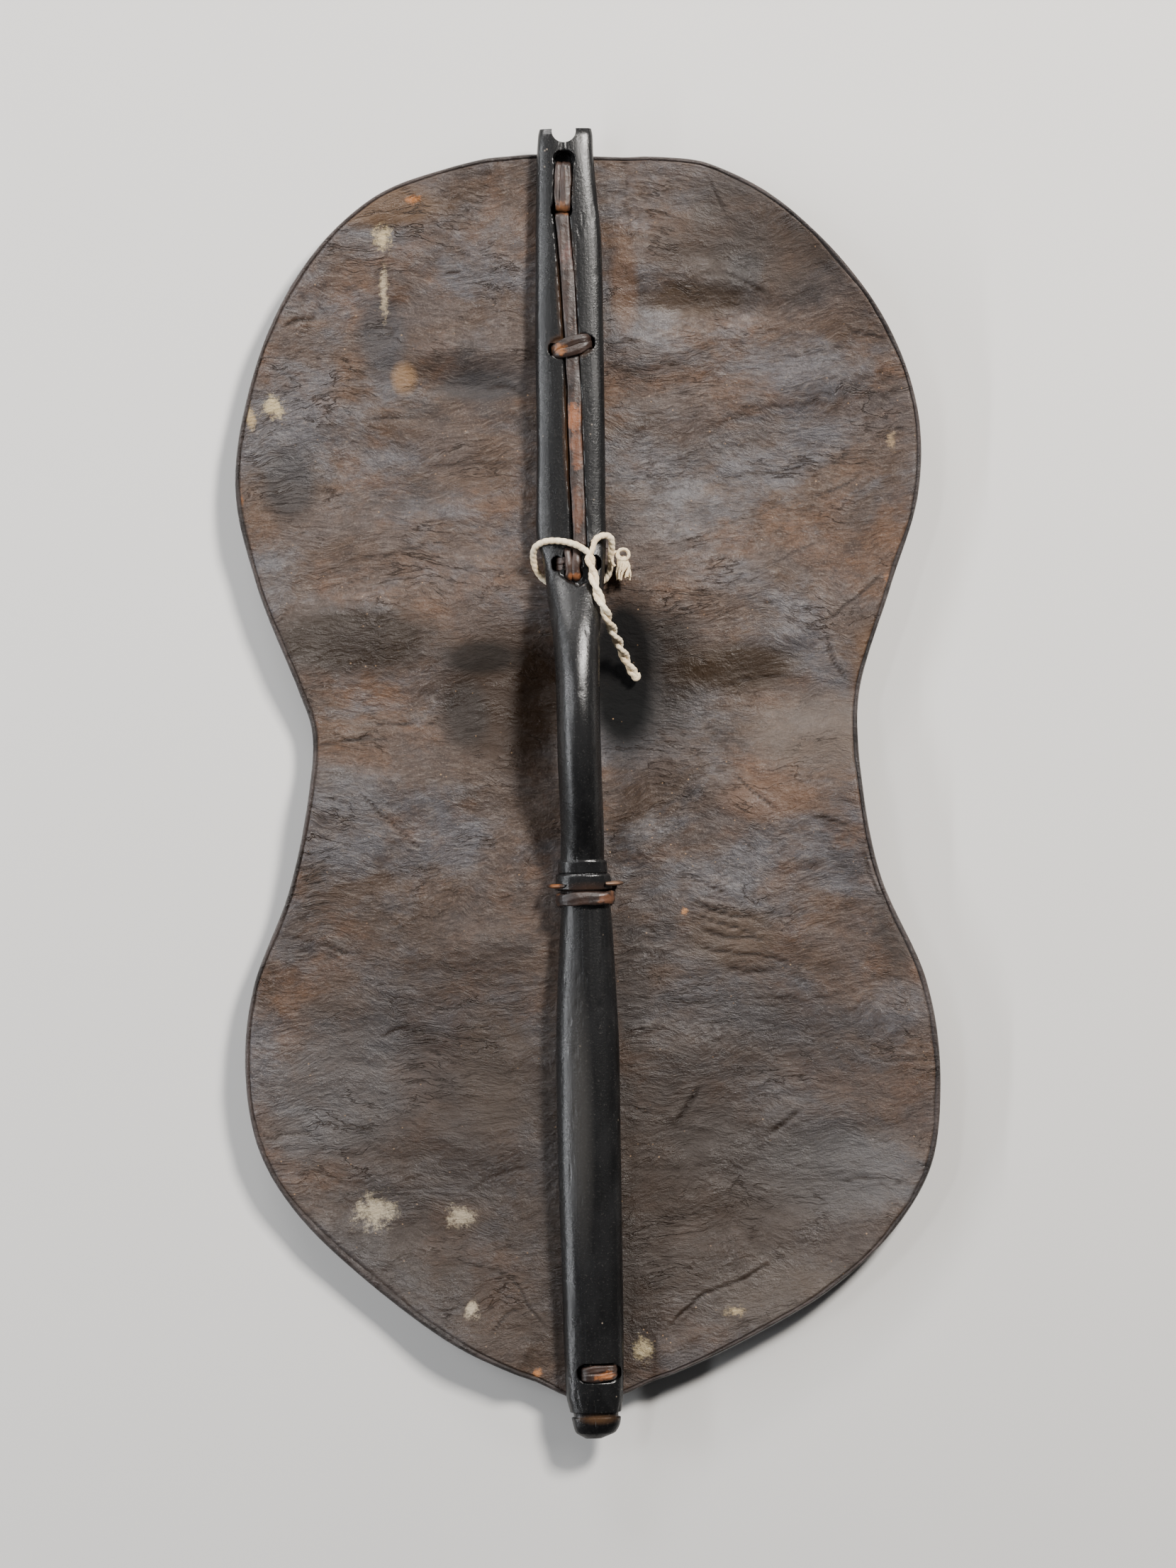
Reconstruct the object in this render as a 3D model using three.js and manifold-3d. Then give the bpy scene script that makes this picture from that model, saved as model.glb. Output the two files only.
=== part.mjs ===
// Figure-of-eight hide shield, lying on its outer face with the carry stave up.
// Millimetres. +Y runs along the stave to its forked end, +X to the right seen from the stave side,
// +Z away from the surface the shield lies on. The origin is under the middle of the shield.

import * as THREE from 'three';
import { mergeVertices } from 'three/addons/utils/BufferGeometryUtils.js';
import Module from 'manifold-3d';

const wasm = await Module();
wasm.setup();

// ---------------------------------------------------------------- driving dimensions

const CLEAR = 0.3;              // gap between pieces that touch
const HIDE_THICK = 5;           // buffalo or giraffe hide
const HIDE_LEVEL = 14;          // outer face of the hide along the stave, above the resting surface
const RIM_TURN = 1.6;           // how far the cut edge leans inwards at the top
const RIM_CURL = 6;             // how far the rim curls up
const RIM_CURL_REACH = 20;      // how far in from the rim the curl fades
const HIDE_ROWS = 42;
const HIDE_COLUMNS = 25;

const SEAT = HIDE_LEVEL + HIDE_THICK + CLEAR;   // underside of the stave where it lies on the hide
const SECTION_SIDES = 20;                       // corners of one section of the stave
const STAVE_MIDDLE = -3;
const STAVE_HOLD = 36;                          // half width of the strip of hide that the stave presses flat

const STITCH_THICK = 2.6;       // thongs, on the outer face and in the wood
const STRING_RADIUS = 2.05;     // cotton string
const TAIL_RADIUS = 3.2;        // two strands of it twisted together

// ---------------------------------------------------------------- materials

function finish(color, roughness) {
  return new THREE.MeshStandardMaterial({ color, roughness, metalness: 0 });
}

const hideFinish = finish(0x4a3a31, 0.62);
const woodFinish = finish(0x16171a, 0.38);
const thongFinish = finish(0x33241e, 0.5);
const stringFinish = finish(0xe6d9bf, 0.9);

// ---------------------------------------------------------------- solids and geometries

function toSolid(geometry) {
  const bare = geometry.clone();
  for (const name of Object.keys(bare.attributes)) {
    if (name !== 'position') bare.deleteAttribute(name);
  }
  const merged = mergeVertices(bare, 1e-3);
  return new wasm.Manifold(new wasm.Mesh({
    numProp: 3,
    vertProperties: new Float32Array(merged.attributes.position.array),
    triVerts: new Uint32Array(merged.index.array),
  }));
}

function toGeometry(solid) {
  const mesh = solid.getMesh();
  const geometry = new THREE.BufferGeometry();
  geometry.setAttribute('position', new THREE.BufferAttribute(mesh.vertProperties, 3));
  geometry.setIndex(new THREE.BufferAttribute(mesh.triVerts, 1));
  geometry.computeVertexNormals();
  return geometry;
}

function piece(name, solid, material) {
  const mesh = new THREE.Mesh(toGeometry(solid), material);
  mesh.name = name;
  return mesh;
}

// A closed skin from rings of points that all have the same number of corners.
function loft(rings) {
  const corners = rings[0].length;
  const positions = rings.flat().flatMap((p) => [p.x, p.y, p.z]);
  const index = [];
  for (let i = 0; i + 1 < rings.length; i += 1) {
    for (let k = 0; k < corners; k += 1) {
      const a = i * corners + k;
      const b = i * corners + (k + 1) % corners;
      index.push(a, b, b + corners, a, b + corners, a + corners);
    }
  }
  const last = (rings.length - 1) * corners;
  for (let k = 1; k + 1 < corners; k += 1) {
    index.push(0, k + 1, k);
    index.push(last, last + k, last + k + 1);
  }
  const geometry = new THREE.BufferGeometry();
  geometry.setAttribute('position', new THREE.Float32BufferAttribute(positions, 3));
  geometry.setIndex(index);
  const solid = toSolid(geometry);
  if (solid.volume() > 0) return solid;
  for (let i = 0; i < index.length; i += 3) index.splice(i, 3, index[i], index[i + 2], index[i + 1]);
  geometry.setIndex(index);
  return toSolid(geometry);
}

// A plan outline pulled straight up from z = low to z = high.
function pillar(outline, low, high) {
  const geometry = new THREE.ExtrudeGeometry(outline, {
    depth: high - low, bevelEnabled: false, curveSegments: 6,
  });
  geometry.translate(0, 0, low);
  return toSolid(geometry);
}

function roundOutline(x, y, radius) {
  const outline = new THREE.Shape();
  outline.absarc(x, y, radius, 0, 2 * Math.PI, false);
  return outline;
}

// A slot with round ends between two points.
function slotOutline(ax, ay, bx, by, radius) {
  const along = Math.atan2(by - ay, bx - ax);
  const outline = new THREE.Shape();
  outline.absarc(bx, by, radius, along - Math.PI / 2, along + Math.PI / 2, false);
  outline.absarc(ax, ay, radius, along + Math.PI / 2, along + 3 * Math.PI / 2, false);
  outline.closePath();
  return outline;
}

// A flat strap along points { x, y, z } of its underside; it keeps its width level.
function strap(points, width, thick) {
  const rings = points.map((p, i) => {
    const before = points[Math.max(i - 1, 0)];
    const after = points[Math.min(i + 1, points.length - 1)];
    const along = Math.atan2(after.y - before.y, after.x - before.x);
    const sx = -Math.sin(along) * width / 2;
    const sy = Math.cos(along) * width / 2;
    return [
      new THREE.Vector3(p.x + sx, p.y + sy, p.z),
      new THREE.Vector3(p.x - sx, p.y - sy, p.z),
      new THREE.Vector3(p.x - sx * 0.72, p.y - sy * 0.72, p.z + thick),
      new THREE.Vector3(p.x + sx * 0.72, p.y + sy * 0.72, p.z + thick),
    ];
  });
  return loft(rings);
}

// ---------------------------------------------------------------- the hide's outline

// Left edge from the foot of the hide to its head, then the right edge back down.
const OUTLINE = [
  [-5, -376], [-41, -362], [-86, -340], [-139, -300], [-183, -255], [-204, -216],
  [-210.5, -167], [-204.5, -120], [-181, -60], [-167.5, 0], [-165.5, 35], [-173, 60],
  [-197, 125], [-208.5, 188], [-191.7, 265], [-162, 320], [-121, 358], [-76, 374.5],
  [-30, 382.5],
  [15, 380.5], [72, 377], [85, 373.5], [120, 354.5], [159.5, 315], [192, 267],
  [207, 218], [205.5, 170], [187.5, 115], [167, 50], [167.5, -5], [177.5, -60],
  [204, -125], [211, -182], [204, -237], [180, -276], [142, -310], [87, -341], [38, -362],
];
const HEAD = 18.5 / OUTLINE.length;   // where the left edge meets the right edge at the top

const rimCurve = new THREE.CatmullRomCurve3(
  OUTLINE.map(([x, y]) => new THREE.Vector3(x, y, 0)), true, 'centripetal');
const rimPoints = Array.from({ length: 304 }, (_, i) => rimCurve.getPoint(i / 304));

// One edge of the hide as evenly spaced points, from the foot to the head.
function edgePoints(from, to, count) {
  const fine = Array.from({ length: 401 }, (_, i) => rimCurve.getPoint((from + (to - from) * i / 400) % 1));
  const run = [0];
  for (let i = 1; i < fine.length; i += 1) run.push(run[i - 1] + fine[i].distanceTo(fine[i - 1]));
  let k = 0;
  return Array.from({ length: count + 1 }, (_, i) => {
    const want = run[400] * i / count;
    while (k < 399 && run[k + 1] < want) k += 1;
    return fine[k].clone().lerp(fine[k + 1], (want - run[k]) / (run[k + 1] - run[k]));
  });
}

function rimDistance(x, y) {
  let nearest = Infinity;
  for (const p of rimPoints) nearest = Math.min(nearest, (p.x - x) ** 2 + (p.y - y) ** 2);
  return Math.sqrt(nearest);
}

// ---------------------------------------------------------------- the hide's form

// Hollows beaten and dried into the hide, seen from the stave side. Each one is round or oval:
// its middle, its reach in x, its reach up and down in y, and its depth (negative is a swelling).
const HOLLOWS = [
  { x: -4, y: 52, reach: 56, up: 42, down: 78, depth: 15.0 },        // room for the hand
  { x: -106, y: 195, reach: 76, up: 105, down: 76, depth: 15.0 },    // four bellies
  { x: 104, y: 195, reach: 76, up: 100, down: 76, depth: 15.2 },
  { x: -106, y: -190, reach: 74, up: 88, down: 100, depth: 15.0 },
  { x: 108, y: -190, reach: 74, up: 88, down: 100, depth: 15.0 },
  { x: -118, y: 48, reach: 66, up: 30, down: 34, depth: 7.5 },       // a trough across the waist
  { x: 116, y: 48, reach: 66, up: 30, down: 34, depth: 8.5 },
  { x: 186, y: 300, reach: 52, up: 66, down: 66, depth: -9 },        // the lifted upper right rim
  { x: 168, y: -12, reach: 40, up: 22, down: 26, depth: -4 },
  { x: -172, y: -10, reach: 44, up: 22, down: 26, depth: -3 },
];

function hideUnderside(x, y) {
  let z = HIDE_LEVEL + RIM_CURL * Math.exp(-((rimDistance(x, y) / RIM_CURL_REACH) ** 2));
  for (const hollow of HOLLOWS) {
    const reachY = y > hollow.y ? hollow.up : hollow.down;
    const away = ((x - hollow.x) / hollow.reach) ** 2 + ((y - hollow.y) / reachY) ** 2;
    z -= hollow.depth * Math.exp(-away);
  }
  return Math.max(z, 0);
}

// Under the stave the hide is held down to its level; away from it the hide is free to rise.
function hideSurface(x, y) {
  const room = HIDE_LEVEL + Math.max(0, Math.abs(x - STAVE_MIDDLE) - STAVE_HOLD) * 0.5;
  return Math.min(hideUnderside(x, y), room);
}

function hideBlank() {
  const left = edgePoints(0, HEAD, HIDE_ROWS);
  const right = edgePoints(1, HEAD, HIDE_ROWS);
  const positions = [];
  const columnShare = Array.from({ length: HIDE_COLUMNS + 1 }, (_, i) => {
    const even = i / HIDE_COLUMNS;
    return 0.6 * even + 0.4 * (0.5 - 0.5 * Math.cos(Math.PI * even));
  });
  const layer = (turn, lift) => {
    for (let row = 1; row < HIDE_ROWS; row += 1) {
      const inward = right[row].clone().sub(left[row]).normalize().multiplyScalar(turn);
      const a = left[row].clone().add(inward);
      const b = right[row].clone().sub(inward);
      for (const share of columnShare) {
        const p = a.clone().lerp(b, share);
        positions.push(p.x, p.y, hideSurface(p.x, p.y) + lift);
      }
    }
    for (const tip of [left[0], left[HIDE_ROWS]]) {
      const y = tip.y - Math.sign(tip.y) * turn;
      positions.push(tip.x, y, hideSurface(tip.x, y) + lift);
    }
    return (HIDE_ROWS - 1) * (HIDE_COLUMNS + 1) + 2;
  };
  const size = layer(0, 0);
  layer(RIM_TURN, HIDE_THICK);
  const foot = size - 2;
  const head = size - 1;
  const at = (row, column) => (row - 1) * (HIDE_COLUMNS + 1) + column;
  const index = [];
  const both = (a, b, c) => index.push(a + size, b + size, c + size, a, c, b);
  const wall = (a, b) => index.push(a, b, b + size, a, b + size, a + size);
  for (let column = 0; column < HIDE_COLUMNS; column += 1) {
    both(foot, at(1, column + 1), at(1, column));
    both(head, at(HIDE_ROWS - 1, column), at(HIDE_ROWS - 1, column + 1));
    for (let row = 1; row + 1 < HIDE_ROWS; row += 1) {
      both(at(row, column), at(row, column + 1), at(row + 1, column + 1));
      both(at(row, column), at(row + 1, column + 1), at(row + 1, column));
    }
  }
  wall(foot, at(1, HIDE_COLUMNS));
  wall(at(1, 0), foot);
  wall(head, at(HIDE_ROWS - 1, 0));
  wall(at(HIDE_ROWS - 1, HIDE_COLUMNS), head);
  for (let row = 1; row + 1 < HIDE_ROWS; row += 1) {
    wall(at(row, HIDE_COLUMNS), at(row + 1, HIDE_COLUMNS));
    wall(at(row + 1, 0), at(row, 0));
  }
  const geometry = new THREE.BufferGeometry();
  geometry.setAttribute('position', new THREE.Float32BufferAttribute(positions, 3));
  geometry.setIndex(index);
  return toSolid(geometry);
}

// ---------------------------------------------------------------- the stave

// Stations along the stave: y, middle x, half width, underside z, top z, squareness of the top.
const STATIONS = [
  [-396.5, -4.4, 5.0, 24.0, 27.5, 2.0],
  [-392.5, -3.0, 12.4, 21.6, 31.0, 2.1],
  [-387, -2.4, 14.6, 20.4, 33.0, 2.2],
  [-379.5, -2.8, 15.8, SEAT, 34.2, 2.2],
  [-370, -3.1, 17.4, SEAT, 35.0, 2.3],
  [-340, -3.0, 18.3, SEAT, 36.4, 2.3],
  [-290, -2.9, 18.7, SEAT, 38.0, 2.2],
  [-235, -3.1, 19.2, SEAT, 38.8, 2.1],
  [-170, -2.6, 19.4, SEAT, 39.2, 2.1],
  [-120, -2.2, 17.8, SEAT, 39.0, 2.1],
  [-96, -1.8, 16.5, SEAT, 38.6, 2.1],
  [-76, -1.6, 15.2, SEAT, 38.4, 2.2],
  [-64, -2.6, 14.2, SEAT, 39.4, 2.2],
  [-46, -3.1, 13.3, 21.5, 43.0, 2.2],
  [-30, -2.8, 13.2, 26.0, 50.0, 2.1],
  [-8, -3.0, 13.2, 34.0, 59.0, 2.1],
  [15, -3.4, 13.3, 40.0, 65.0, 2.1],
  [40, -3.5, 13.2, 42.0, 67.0, 2.1],
  [62, -3.4, 13.4, 40.4, 65.0, 2.1],
  [90, -3.6, 14.5, 33.5, 57.0, 2.2],
  [112, -3.8, 16.8, 26.0, 46.5, 2.4],
  [126, -3.8, 18.2, 21.8, 39.2, 2.8],
  [138, -4.2, 19.6, 19.9, 35.6, 3.2],
  [146, -5.2, 21.0, SEAT, 34.6, 3.4],
  [156, -5.4, 21.3, SEAT, 34.2, 3.4],
  [205, -4.3, 20.9, SEAT, 34.0, 3.4],
  [266, -3.7, 20.8, SEAT, 34.0, 3.4],
  [328, -2.9, 20.1, SEAT, 34.0, 3.4],
  [359, -3.6, 18.4, SEAT, 33.6, 3.4],
  [380, -3.8, 17.3, SEAT, 32.6, 3.2],
  [392, -3.4, 16.7, 19.8, 31.0, 3.0],
  [396, -3.3, 15.8, 21.4, 29.4, 2.8],
];

const COLLAR = { head: -46.2, line: -54.8, foot: -64.9, swell: 3.2, raise: 1.4 };
const NUB_GROOVE = { y: -382, half: 1.6, depth: 1.7 };
const NOTCH = { x: -4.3, y: 394.6, radius: 7.3 };

function stationAt(y) {
  let k = 0;
  while (k < STATIONS.length - 2 && STATIONS[k + 1][0] < y) k += 1;
  const a = STATIONS[k];
  const b = STATIONS[k + 1];
  const before = STATIONS[Math.max(k - 1, 0)];
  const after = STATIONS[Math.min(k + 2, STATIONS.length - 1)];
  const span = b[0] - a[0];
  const t = (y - a[0]) / span;
  return a.map((value, i) => {
    if (i === 0) return y;
    const rise = (b[i] - value) / span;
    const slopeA = k > 0 ? easySlope((value - before[i]) / (a[0] - before[0]), rise) : rise;
    const slopeB = k < STATIONS.length - 2 ? easySlope(rise, (after[i] - b[i]) / (after[0] - b[0])) : rise;
    return value * (1 + 2 * t) * (1 - t) ** 2 + b[i] * t * t * (3 - 2 * t)
      + span * (slopeA * t * (1 - t) ** 2 - slopeB * t * t * (1 - t));
  });
}

// The slope at a station, from the rise on both sides, that makes no bump of its own.
function easySlope(before, after) {
  return before * after > 0 ? 2 * before * after / (before + after) : 0;
}

// One section of the stave: a flat-bottomed oval whose top is as square as its station says.
function staveSection(y) {
  const [, x, halfWidth, under, top, squareness] = stationAt(y);
  const inCollar = y < COLLAR.head - 0.1 && y > COLLAR.foot + 0.1;
  const onLine = Math.abs(y - COLLAR.line) < 0.3;
  const inGroove = Math.abs(y - NUB_GROOVE.y) < NUB_GROOVE.half;
  const grow = inCollar ? COLLAR.swell - (onLine ? 0.8 : 0) : 0;
  const shrink = inGroove ? NUB_GROOVE.depth : 0;
  const wide = halfWidth + grow - shrink;
  const crown = top + (inCollar ? COLLAR.raise - (onLine ? 0.8 : 0) : 0) - shrink;
  const middle = under + 0.42 * (top - under);
  return Array.from({ length: SECTION_SIDES }, (_, k) => {
    const angle = 2 * Math.PI * (k + 0.5) / SECTION_SIDES;
    const c = Math.cos(angle);
    const s = Math.sin(angle);
    const power = 2 / (s > 0 ? squareness : 3);
    return new THREE.Vector3(
      x + wide * Math.sign(c) * Math.abs(c) ** power,
      y,
      middle + (s > 0 ? crown - middle : middle - under) * Math.sign(s) * Math.abs(s) ** power);
  });
}

function staveBlank() {
  const steps = [COLLAR.head, COLLAR.head - 0.8, COLLAR.line + 0.6, COLLAR.line, COLLAR.line - 0.6,
    COLLAR.foot + 0.4, COLLAR.foot - 0.1,
    NUB_GROOVE.y - NUB_GROOVE.half - 0.3, NUB_GROOVE.y - NUB_GROOVE.half + 0.3,
    NUB_GROOVE.y + NUB_GROOVE.half - 0.3, NUB_GROOVE.y + NUB_GROOVE.half + 0.3];
  const fill = [-262, -200, -145, -108, -38, -19, 3, 27, 51, 76, 101, 119, 132, 235, 297, 345];
  const places = [...STATIONS.map((station) => station[0]), ...steps, ...fill].sort((a, b) => a - b);
  return loft(places.map(staveSection));
}

// ---------------------------------------------------------------- the thongs that tie them together

// Each tie is one closed thong: up through a hole, over a bridge of wood, down through the next
// hole and back under the hide. span is the distance over its two legs, turn its direction in plan.
const TIES = [
  { name: 'thong_top_loop', x: -5.65, y: 361.7, span: 33.2, width: 10.4, turn: 1.502, over: 34.6, round: 4.5 },
  { name: 'thong_middle_knot', x: -2.5, y: 264, span: 25, width: 12.4, turn: 0.16, over: 37.4, round: 6 },
  { name: 'thong_lower_tie', x: -2.7, y: 132.6, span: 25, width: 14, turn: 0, over: 37.9, round: 6 },
  { name: 'waist_lashing', x: -1.9, y: -69.6, span: 36, width: 7.8, turn: 0, over: 42.4, round: 13 },
  { name: 'thong_bottom_tie', x: -0.2, y: -356, span: 22, width: 11, turn: 0, over: 36.8, round: 5 },
];

function tieUnder(tie) {
  const legs = [-1, 1].map((side) => {
    const reach = side * tie.span / 2;
    return hideSurface(tie.x + reach * Math.cos(tie.turn), tie.y + reach * Math.sin(tie.turn));
  });
  return Math.min(...legs, hideSurface(tie.x, tie.y)) - CLEAR - STITCH_THICK - 0.5;
}

function place(solid, tie) {
  return solid.rotate([0, 0, THREE.MathUtils.radToDeg(tie.turn)]).translate([tie.x, tie.y, 0]);
}

function roundedFrame(path, half, low, high, round, small) {
  path.moveTo(-half + small, low);
  path.lineTo(half - small, low);
  path.quadraticCurveTo(half, low, half, low + small);
  path.lineTo(half, high - round);
  path.quadraticCurveTo(half, high, half - round, high);
  path.lineTo(-half + round, high);
  path.quadraticCurveTo(-half, high, -half, high - round);
  path.lineTo(-half, low + small);
  path.quadraticCurveTo(-half, low, -half + small, low);
}

function tieRing(tie) {
  const low = tieUnder(tie);
  const half = tie.span / 2;
  const outline = new THREE.Shape();
  roundedFrame(outline, half, low, tie.over, tie.round, 1.6);
  const eye = new THREE.Path();
  roundedFrame(eye, half - STITCH_THICK, low + STITCH_THICK, tie.over - STITCH_THICK,
    Math.max(tie.round - STITCH_THICK, 1.2), 0.6);
  outline.holes.push(eye);
  const geometry = new THREE.ExtrudeGeometry(outline, {
    depth: tie.width, bevelEnabled: false, curveSegments: 4,
  });
  geometry.translate(0, 0, -tie.width / 2);
  geometry.rotateX(Math.PI / 2);
  return place(toSolid(geometry), tie);
}

// The two holes that the legs of a tie pass through, cut wider than the legs by clearance.
function tieHoles(tie, clearance, low, high) {
  const holes = [-1, 1].map((side) => {
    const box = new THREE.BoxGeometry(STITCH_THICK + 2 * clearance, tie.width + 2 * clearance, high - low);
    box.translate(side * (tie.span - STITCH_THICK) / 2, 0, (high + low) / 2);
    return toSolid(box);
  });
  return place(holes[0].add(holes[1]), tie);
}

// Top of the wood that a tie crosses, low enough for the rounded shoulders of the thong.
function bridgeTop(tie) {
  return tie.over - STITCH_THICK - CLEAR - 0.25 * tie.round;
}

const tieByName = Object.fromEntries(TIES.map((tie) => [tie.name, tie]));

// ---------------------------------------------------------------- the strip in its groove

// Middle line of the groove that runs down the blade from the top holes to the lower tie.
const GROOVE_LINE = [[-7.0, 344.0], [-6.4, 334], [-5.2, 315], [-3.8, 290], [-2.9, 264],
  [-2.4, 240], [-2.1, 212], [-1.4, 175], [-0.8, 142.2]];
const GROOVE = { halfWidth: 5.4, floor: 30.6 };
const STRIP = { width: 8.2, thick: 2.4, aside: 0.7, bend: 1.4, dip: 1.6 };

function grooveCut() {
  return strap(GROOVE_LINE.map(([x, y]) => ({ x, y, z: GROOVE.floor })), GROOVE.halfWidth * 2, 12);
}

function grooveStrip() {
  const bed = GROOVE.floor + CLEAR;
  const points = GROOVE_LINE.map(([x, y]) => ({ x: x + STRIP.aside, y, z: bed }));
  const [x, y] = GROOVE_LINE[0];
  points[0] = { x: x + STRIP.aside, y: y - STRIP.bend, z: bed };
  points.unshift({ x: x + STRIP.aside, y, z: bed - STRIP.dip });
  const [footX, footY] = GROOVE_LINE[GROOVE_LINE.length - 1];
  points[points.length - 1] = { x: footX + STRIP.aside, y: footY + 0.8, z: bed };
  return strap(points, STRIP.width, STRIP.thick);
}

// ---------------------------------------------------------------- holes and recesses in the stave

function cutStave(blank) {
  const above = 80;
  const topHole = [-4.6, 376.9];
  const lowHole = [-6.7, 346.5];
  const middle = tieByName.thong_middle_knot;
  const lower = tieByName.thong_lower_tie;
  const bottom = tieByName.thong_bottom_tie;
  const lashing = tieByName.waist_lashing;
  const recess = (tie, half, radius) => place(
    pillar(slotOutline(-half, 0, half, 0, radius), bridgeTop(tie), above), tie);
  const scoop = new THREE.Shape([
    new THREE.Vector2(-13, 128), new THREE.Vector2(-0.5, 118.5), new THREE.Vector2(8, 128)]);
  const notches = [-1, 1].map((side) => {
    const box = new THREE.BoxGeometry(8, 9.2, 16);
    box.translate(lashing.x + side * (lashing.span / 2 + 1.4), -61.5, 26.5);
    return toSolid(box);
  });
  const cuts = [
    pillar(roundOutline(NOTCH.x, NOTCH.y, NOTCH.radius), 0, above),
    pillar(roundOutline(...topHole, 6.5), 0, above),
    pillar(roundOutline(...lowHole, 6.9), 0, above),
    pillar(slotOutline(...topHole, ...lowHole, 6.1), bridgeTop(tieByName.thong_top_loop), above),
    grooveCut(),
    recess(middle, 6.6, 7.2),
    recess(lower, 8.2, 7.8),
    recess(bottom, 7.2, 6.4),
    pillar(scoop, 36.2, above),
    ...[middle, lower, bottom, lashing].map((tie) => tieHoles(tie, 0.6, 0, above)),
    ...notches,
  ];
  return cuts.reduce((solid, cut) => solid.subtract(cut), blank);
}

// ---------------------------------------------------------------- the cotton string

// Once round the stave above the lower tie; both ends meet where the tail begins.
const STRING_ROUTE = [
  [3.7, 139.6, 40.4], [-2.5, 143.6, 39.0], [-13.2, 146.3, 37.4], [-21.5, 146.0, 36.0], [-27.0, 143.2, 32.8],
  [-28.6, 137.5, 27.5], [-27.0, 130.0, 22.8], [-22.0, 123.6, 19.4], [-13.0, 119.8, 18.6], [-3.0, 118.6, 18.6],
  [8.0, 119.8, 18.8], [15.8, 124.6, 20.4], [18.0, 131.0, 23.8], [18.2, 137.0, 28.0], [19.0, 143.0, 32.6],
  [18.4, 147.4, 36.2], [15.2, 149.0, 38.0], [10.6, 147.6, 38.8], [8.0, 144.6, 39.8],
];

// The two ends twisted into a tail that crosses the stave and comes to rest on the hide.
const TAIL_ROUTE = [
  [5.4, 135.4, 41.6], [6.9, 127.8, 42.4], [8.9, 116.1, 46.2], [13.7, 103.7, 46.8], [17.5, 93.7, 37.0],
  [22.3, 83.1, 24.6], [26.9, 73.1, 15.2], [31.8, 64.0, 11.9],
];

const KNOT = { x: 25.4, y: 131.6, z: 27.0, width: 10.0, length: 21.0, thick: 9.0 };

function tube(route, radius, sides, steps) {
  const path = new THREE.CatmullRomCurve3(route.map((p) => new THREE.Vector3(...p)), false, 'centripetal');
  const section = new THREE.Shape();
  for (let k = 0; k < sides; k += 1) {
    const angle = 2 * Math.PI * k / sides;
    const corner = [radius * Math.cos(angle), radius * Math.sin(angle)];
    if (k === 0) section.moveTo(...corner);
    else section.lineTo(...corner);
  }
  section.closePath();
  return toSolid(new THREE.ExtrudeGeometry(section, { steps, extrudePath: path, bevelEnabled: false }));
}

function stringKnot() {
  const ball = new THREE.SphereGeometry(0.5, 10, 8);
  ball.rotateX(Math.PI / 2);
  ball.scale(KNOT.width, KNOT.length, KNOT.thick);
  ball.rotateZ(0.12);
  ball.translate(KNOT.x, KNOT.y, KNOT.z);
  return toSolid(ball);
}

// ---------------------------------------------------------------- the whole shield

const hide = TIES.reduce((solid, tie) => solid.subtract(tieHoles(tie, 0.4, -10, 60)), hideBlank());
const shield = new THREE.Group();
shield.add(piece('hide', hide, hideFinish));
shield.add(piece('stave', cutStave(staveBlank()), woodFinish));
for (const tie of TIES) shield.add(piece(tie.name, tieRing(tie), thongFinish));
shield.add(piece('thong_groove_strip', grooveStrip(), thongFinish));
shield.add(piece('string_loop', tube(STRING_ROUTE, STRING_RADIUS, 8, 38), stringFinish));
shield.add(piece('string_tail', tube(TAIL_ROUTE, TAIL_RADIUS, 8, 20), stringFinish));
shield.add(piece('string_knot', stringKnot(), stringFinish));

export default shield;
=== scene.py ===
import math

import bpy
import numpy as np
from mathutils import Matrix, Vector


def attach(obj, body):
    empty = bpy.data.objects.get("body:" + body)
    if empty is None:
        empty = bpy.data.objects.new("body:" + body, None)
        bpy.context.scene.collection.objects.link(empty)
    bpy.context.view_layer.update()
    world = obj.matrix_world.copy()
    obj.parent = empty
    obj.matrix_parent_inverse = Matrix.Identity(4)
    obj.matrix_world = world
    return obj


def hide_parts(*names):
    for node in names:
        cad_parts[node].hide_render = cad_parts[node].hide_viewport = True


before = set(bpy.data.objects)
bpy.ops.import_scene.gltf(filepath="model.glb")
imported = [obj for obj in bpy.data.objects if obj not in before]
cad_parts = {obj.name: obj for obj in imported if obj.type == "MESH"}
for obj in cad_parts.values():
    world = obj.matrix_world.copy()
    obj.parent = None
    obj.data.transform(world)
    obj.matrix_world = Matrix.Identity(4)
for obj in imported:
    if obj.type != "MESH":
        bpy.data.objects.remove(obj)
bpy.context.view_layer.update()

# The looks of a figure-of-eight hide shield that lies on its outer face, stave up.
# Lengths in this script are millimetres in the model's frame, and MM turns them into metres.

MM = 0.001

# ------------------------------------------------------------------ camera, light and floor

CAMERA_AT = (1.3, -0.5)        # the point of the shield that the camera looks down on
CAMERA_TURN = -1.32            # degrees that the camera is turned about its line of sight
CAMERA_HEIGHT = 2600
VIEW_HEIGHT = 951              # what the frame's height takes in, at the level of the hide
VIEW_LEVEL = 20


def set_camera():
    data = bpy.data.cameras.new("camera")
    data.sensor_fit = "VERTICAL"
    data.angle = 2 * math.atan(VIEW_HEIGHT / 2 / (CAMERA_HEIGHT - VIEW_LEVEL))
    camera = bpy.data.objects.new("camera", data)
    camera.location = Vector((*CAMERA_AT, CAMERA_HEIGHT)) * MM
    camera.rotation_euler = (0, 0, math.radians(CAMERA_TURN))
    bpy.context.scene.collection.objects.link(camera)
    bpy.context.scene.camera = camera


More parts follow.
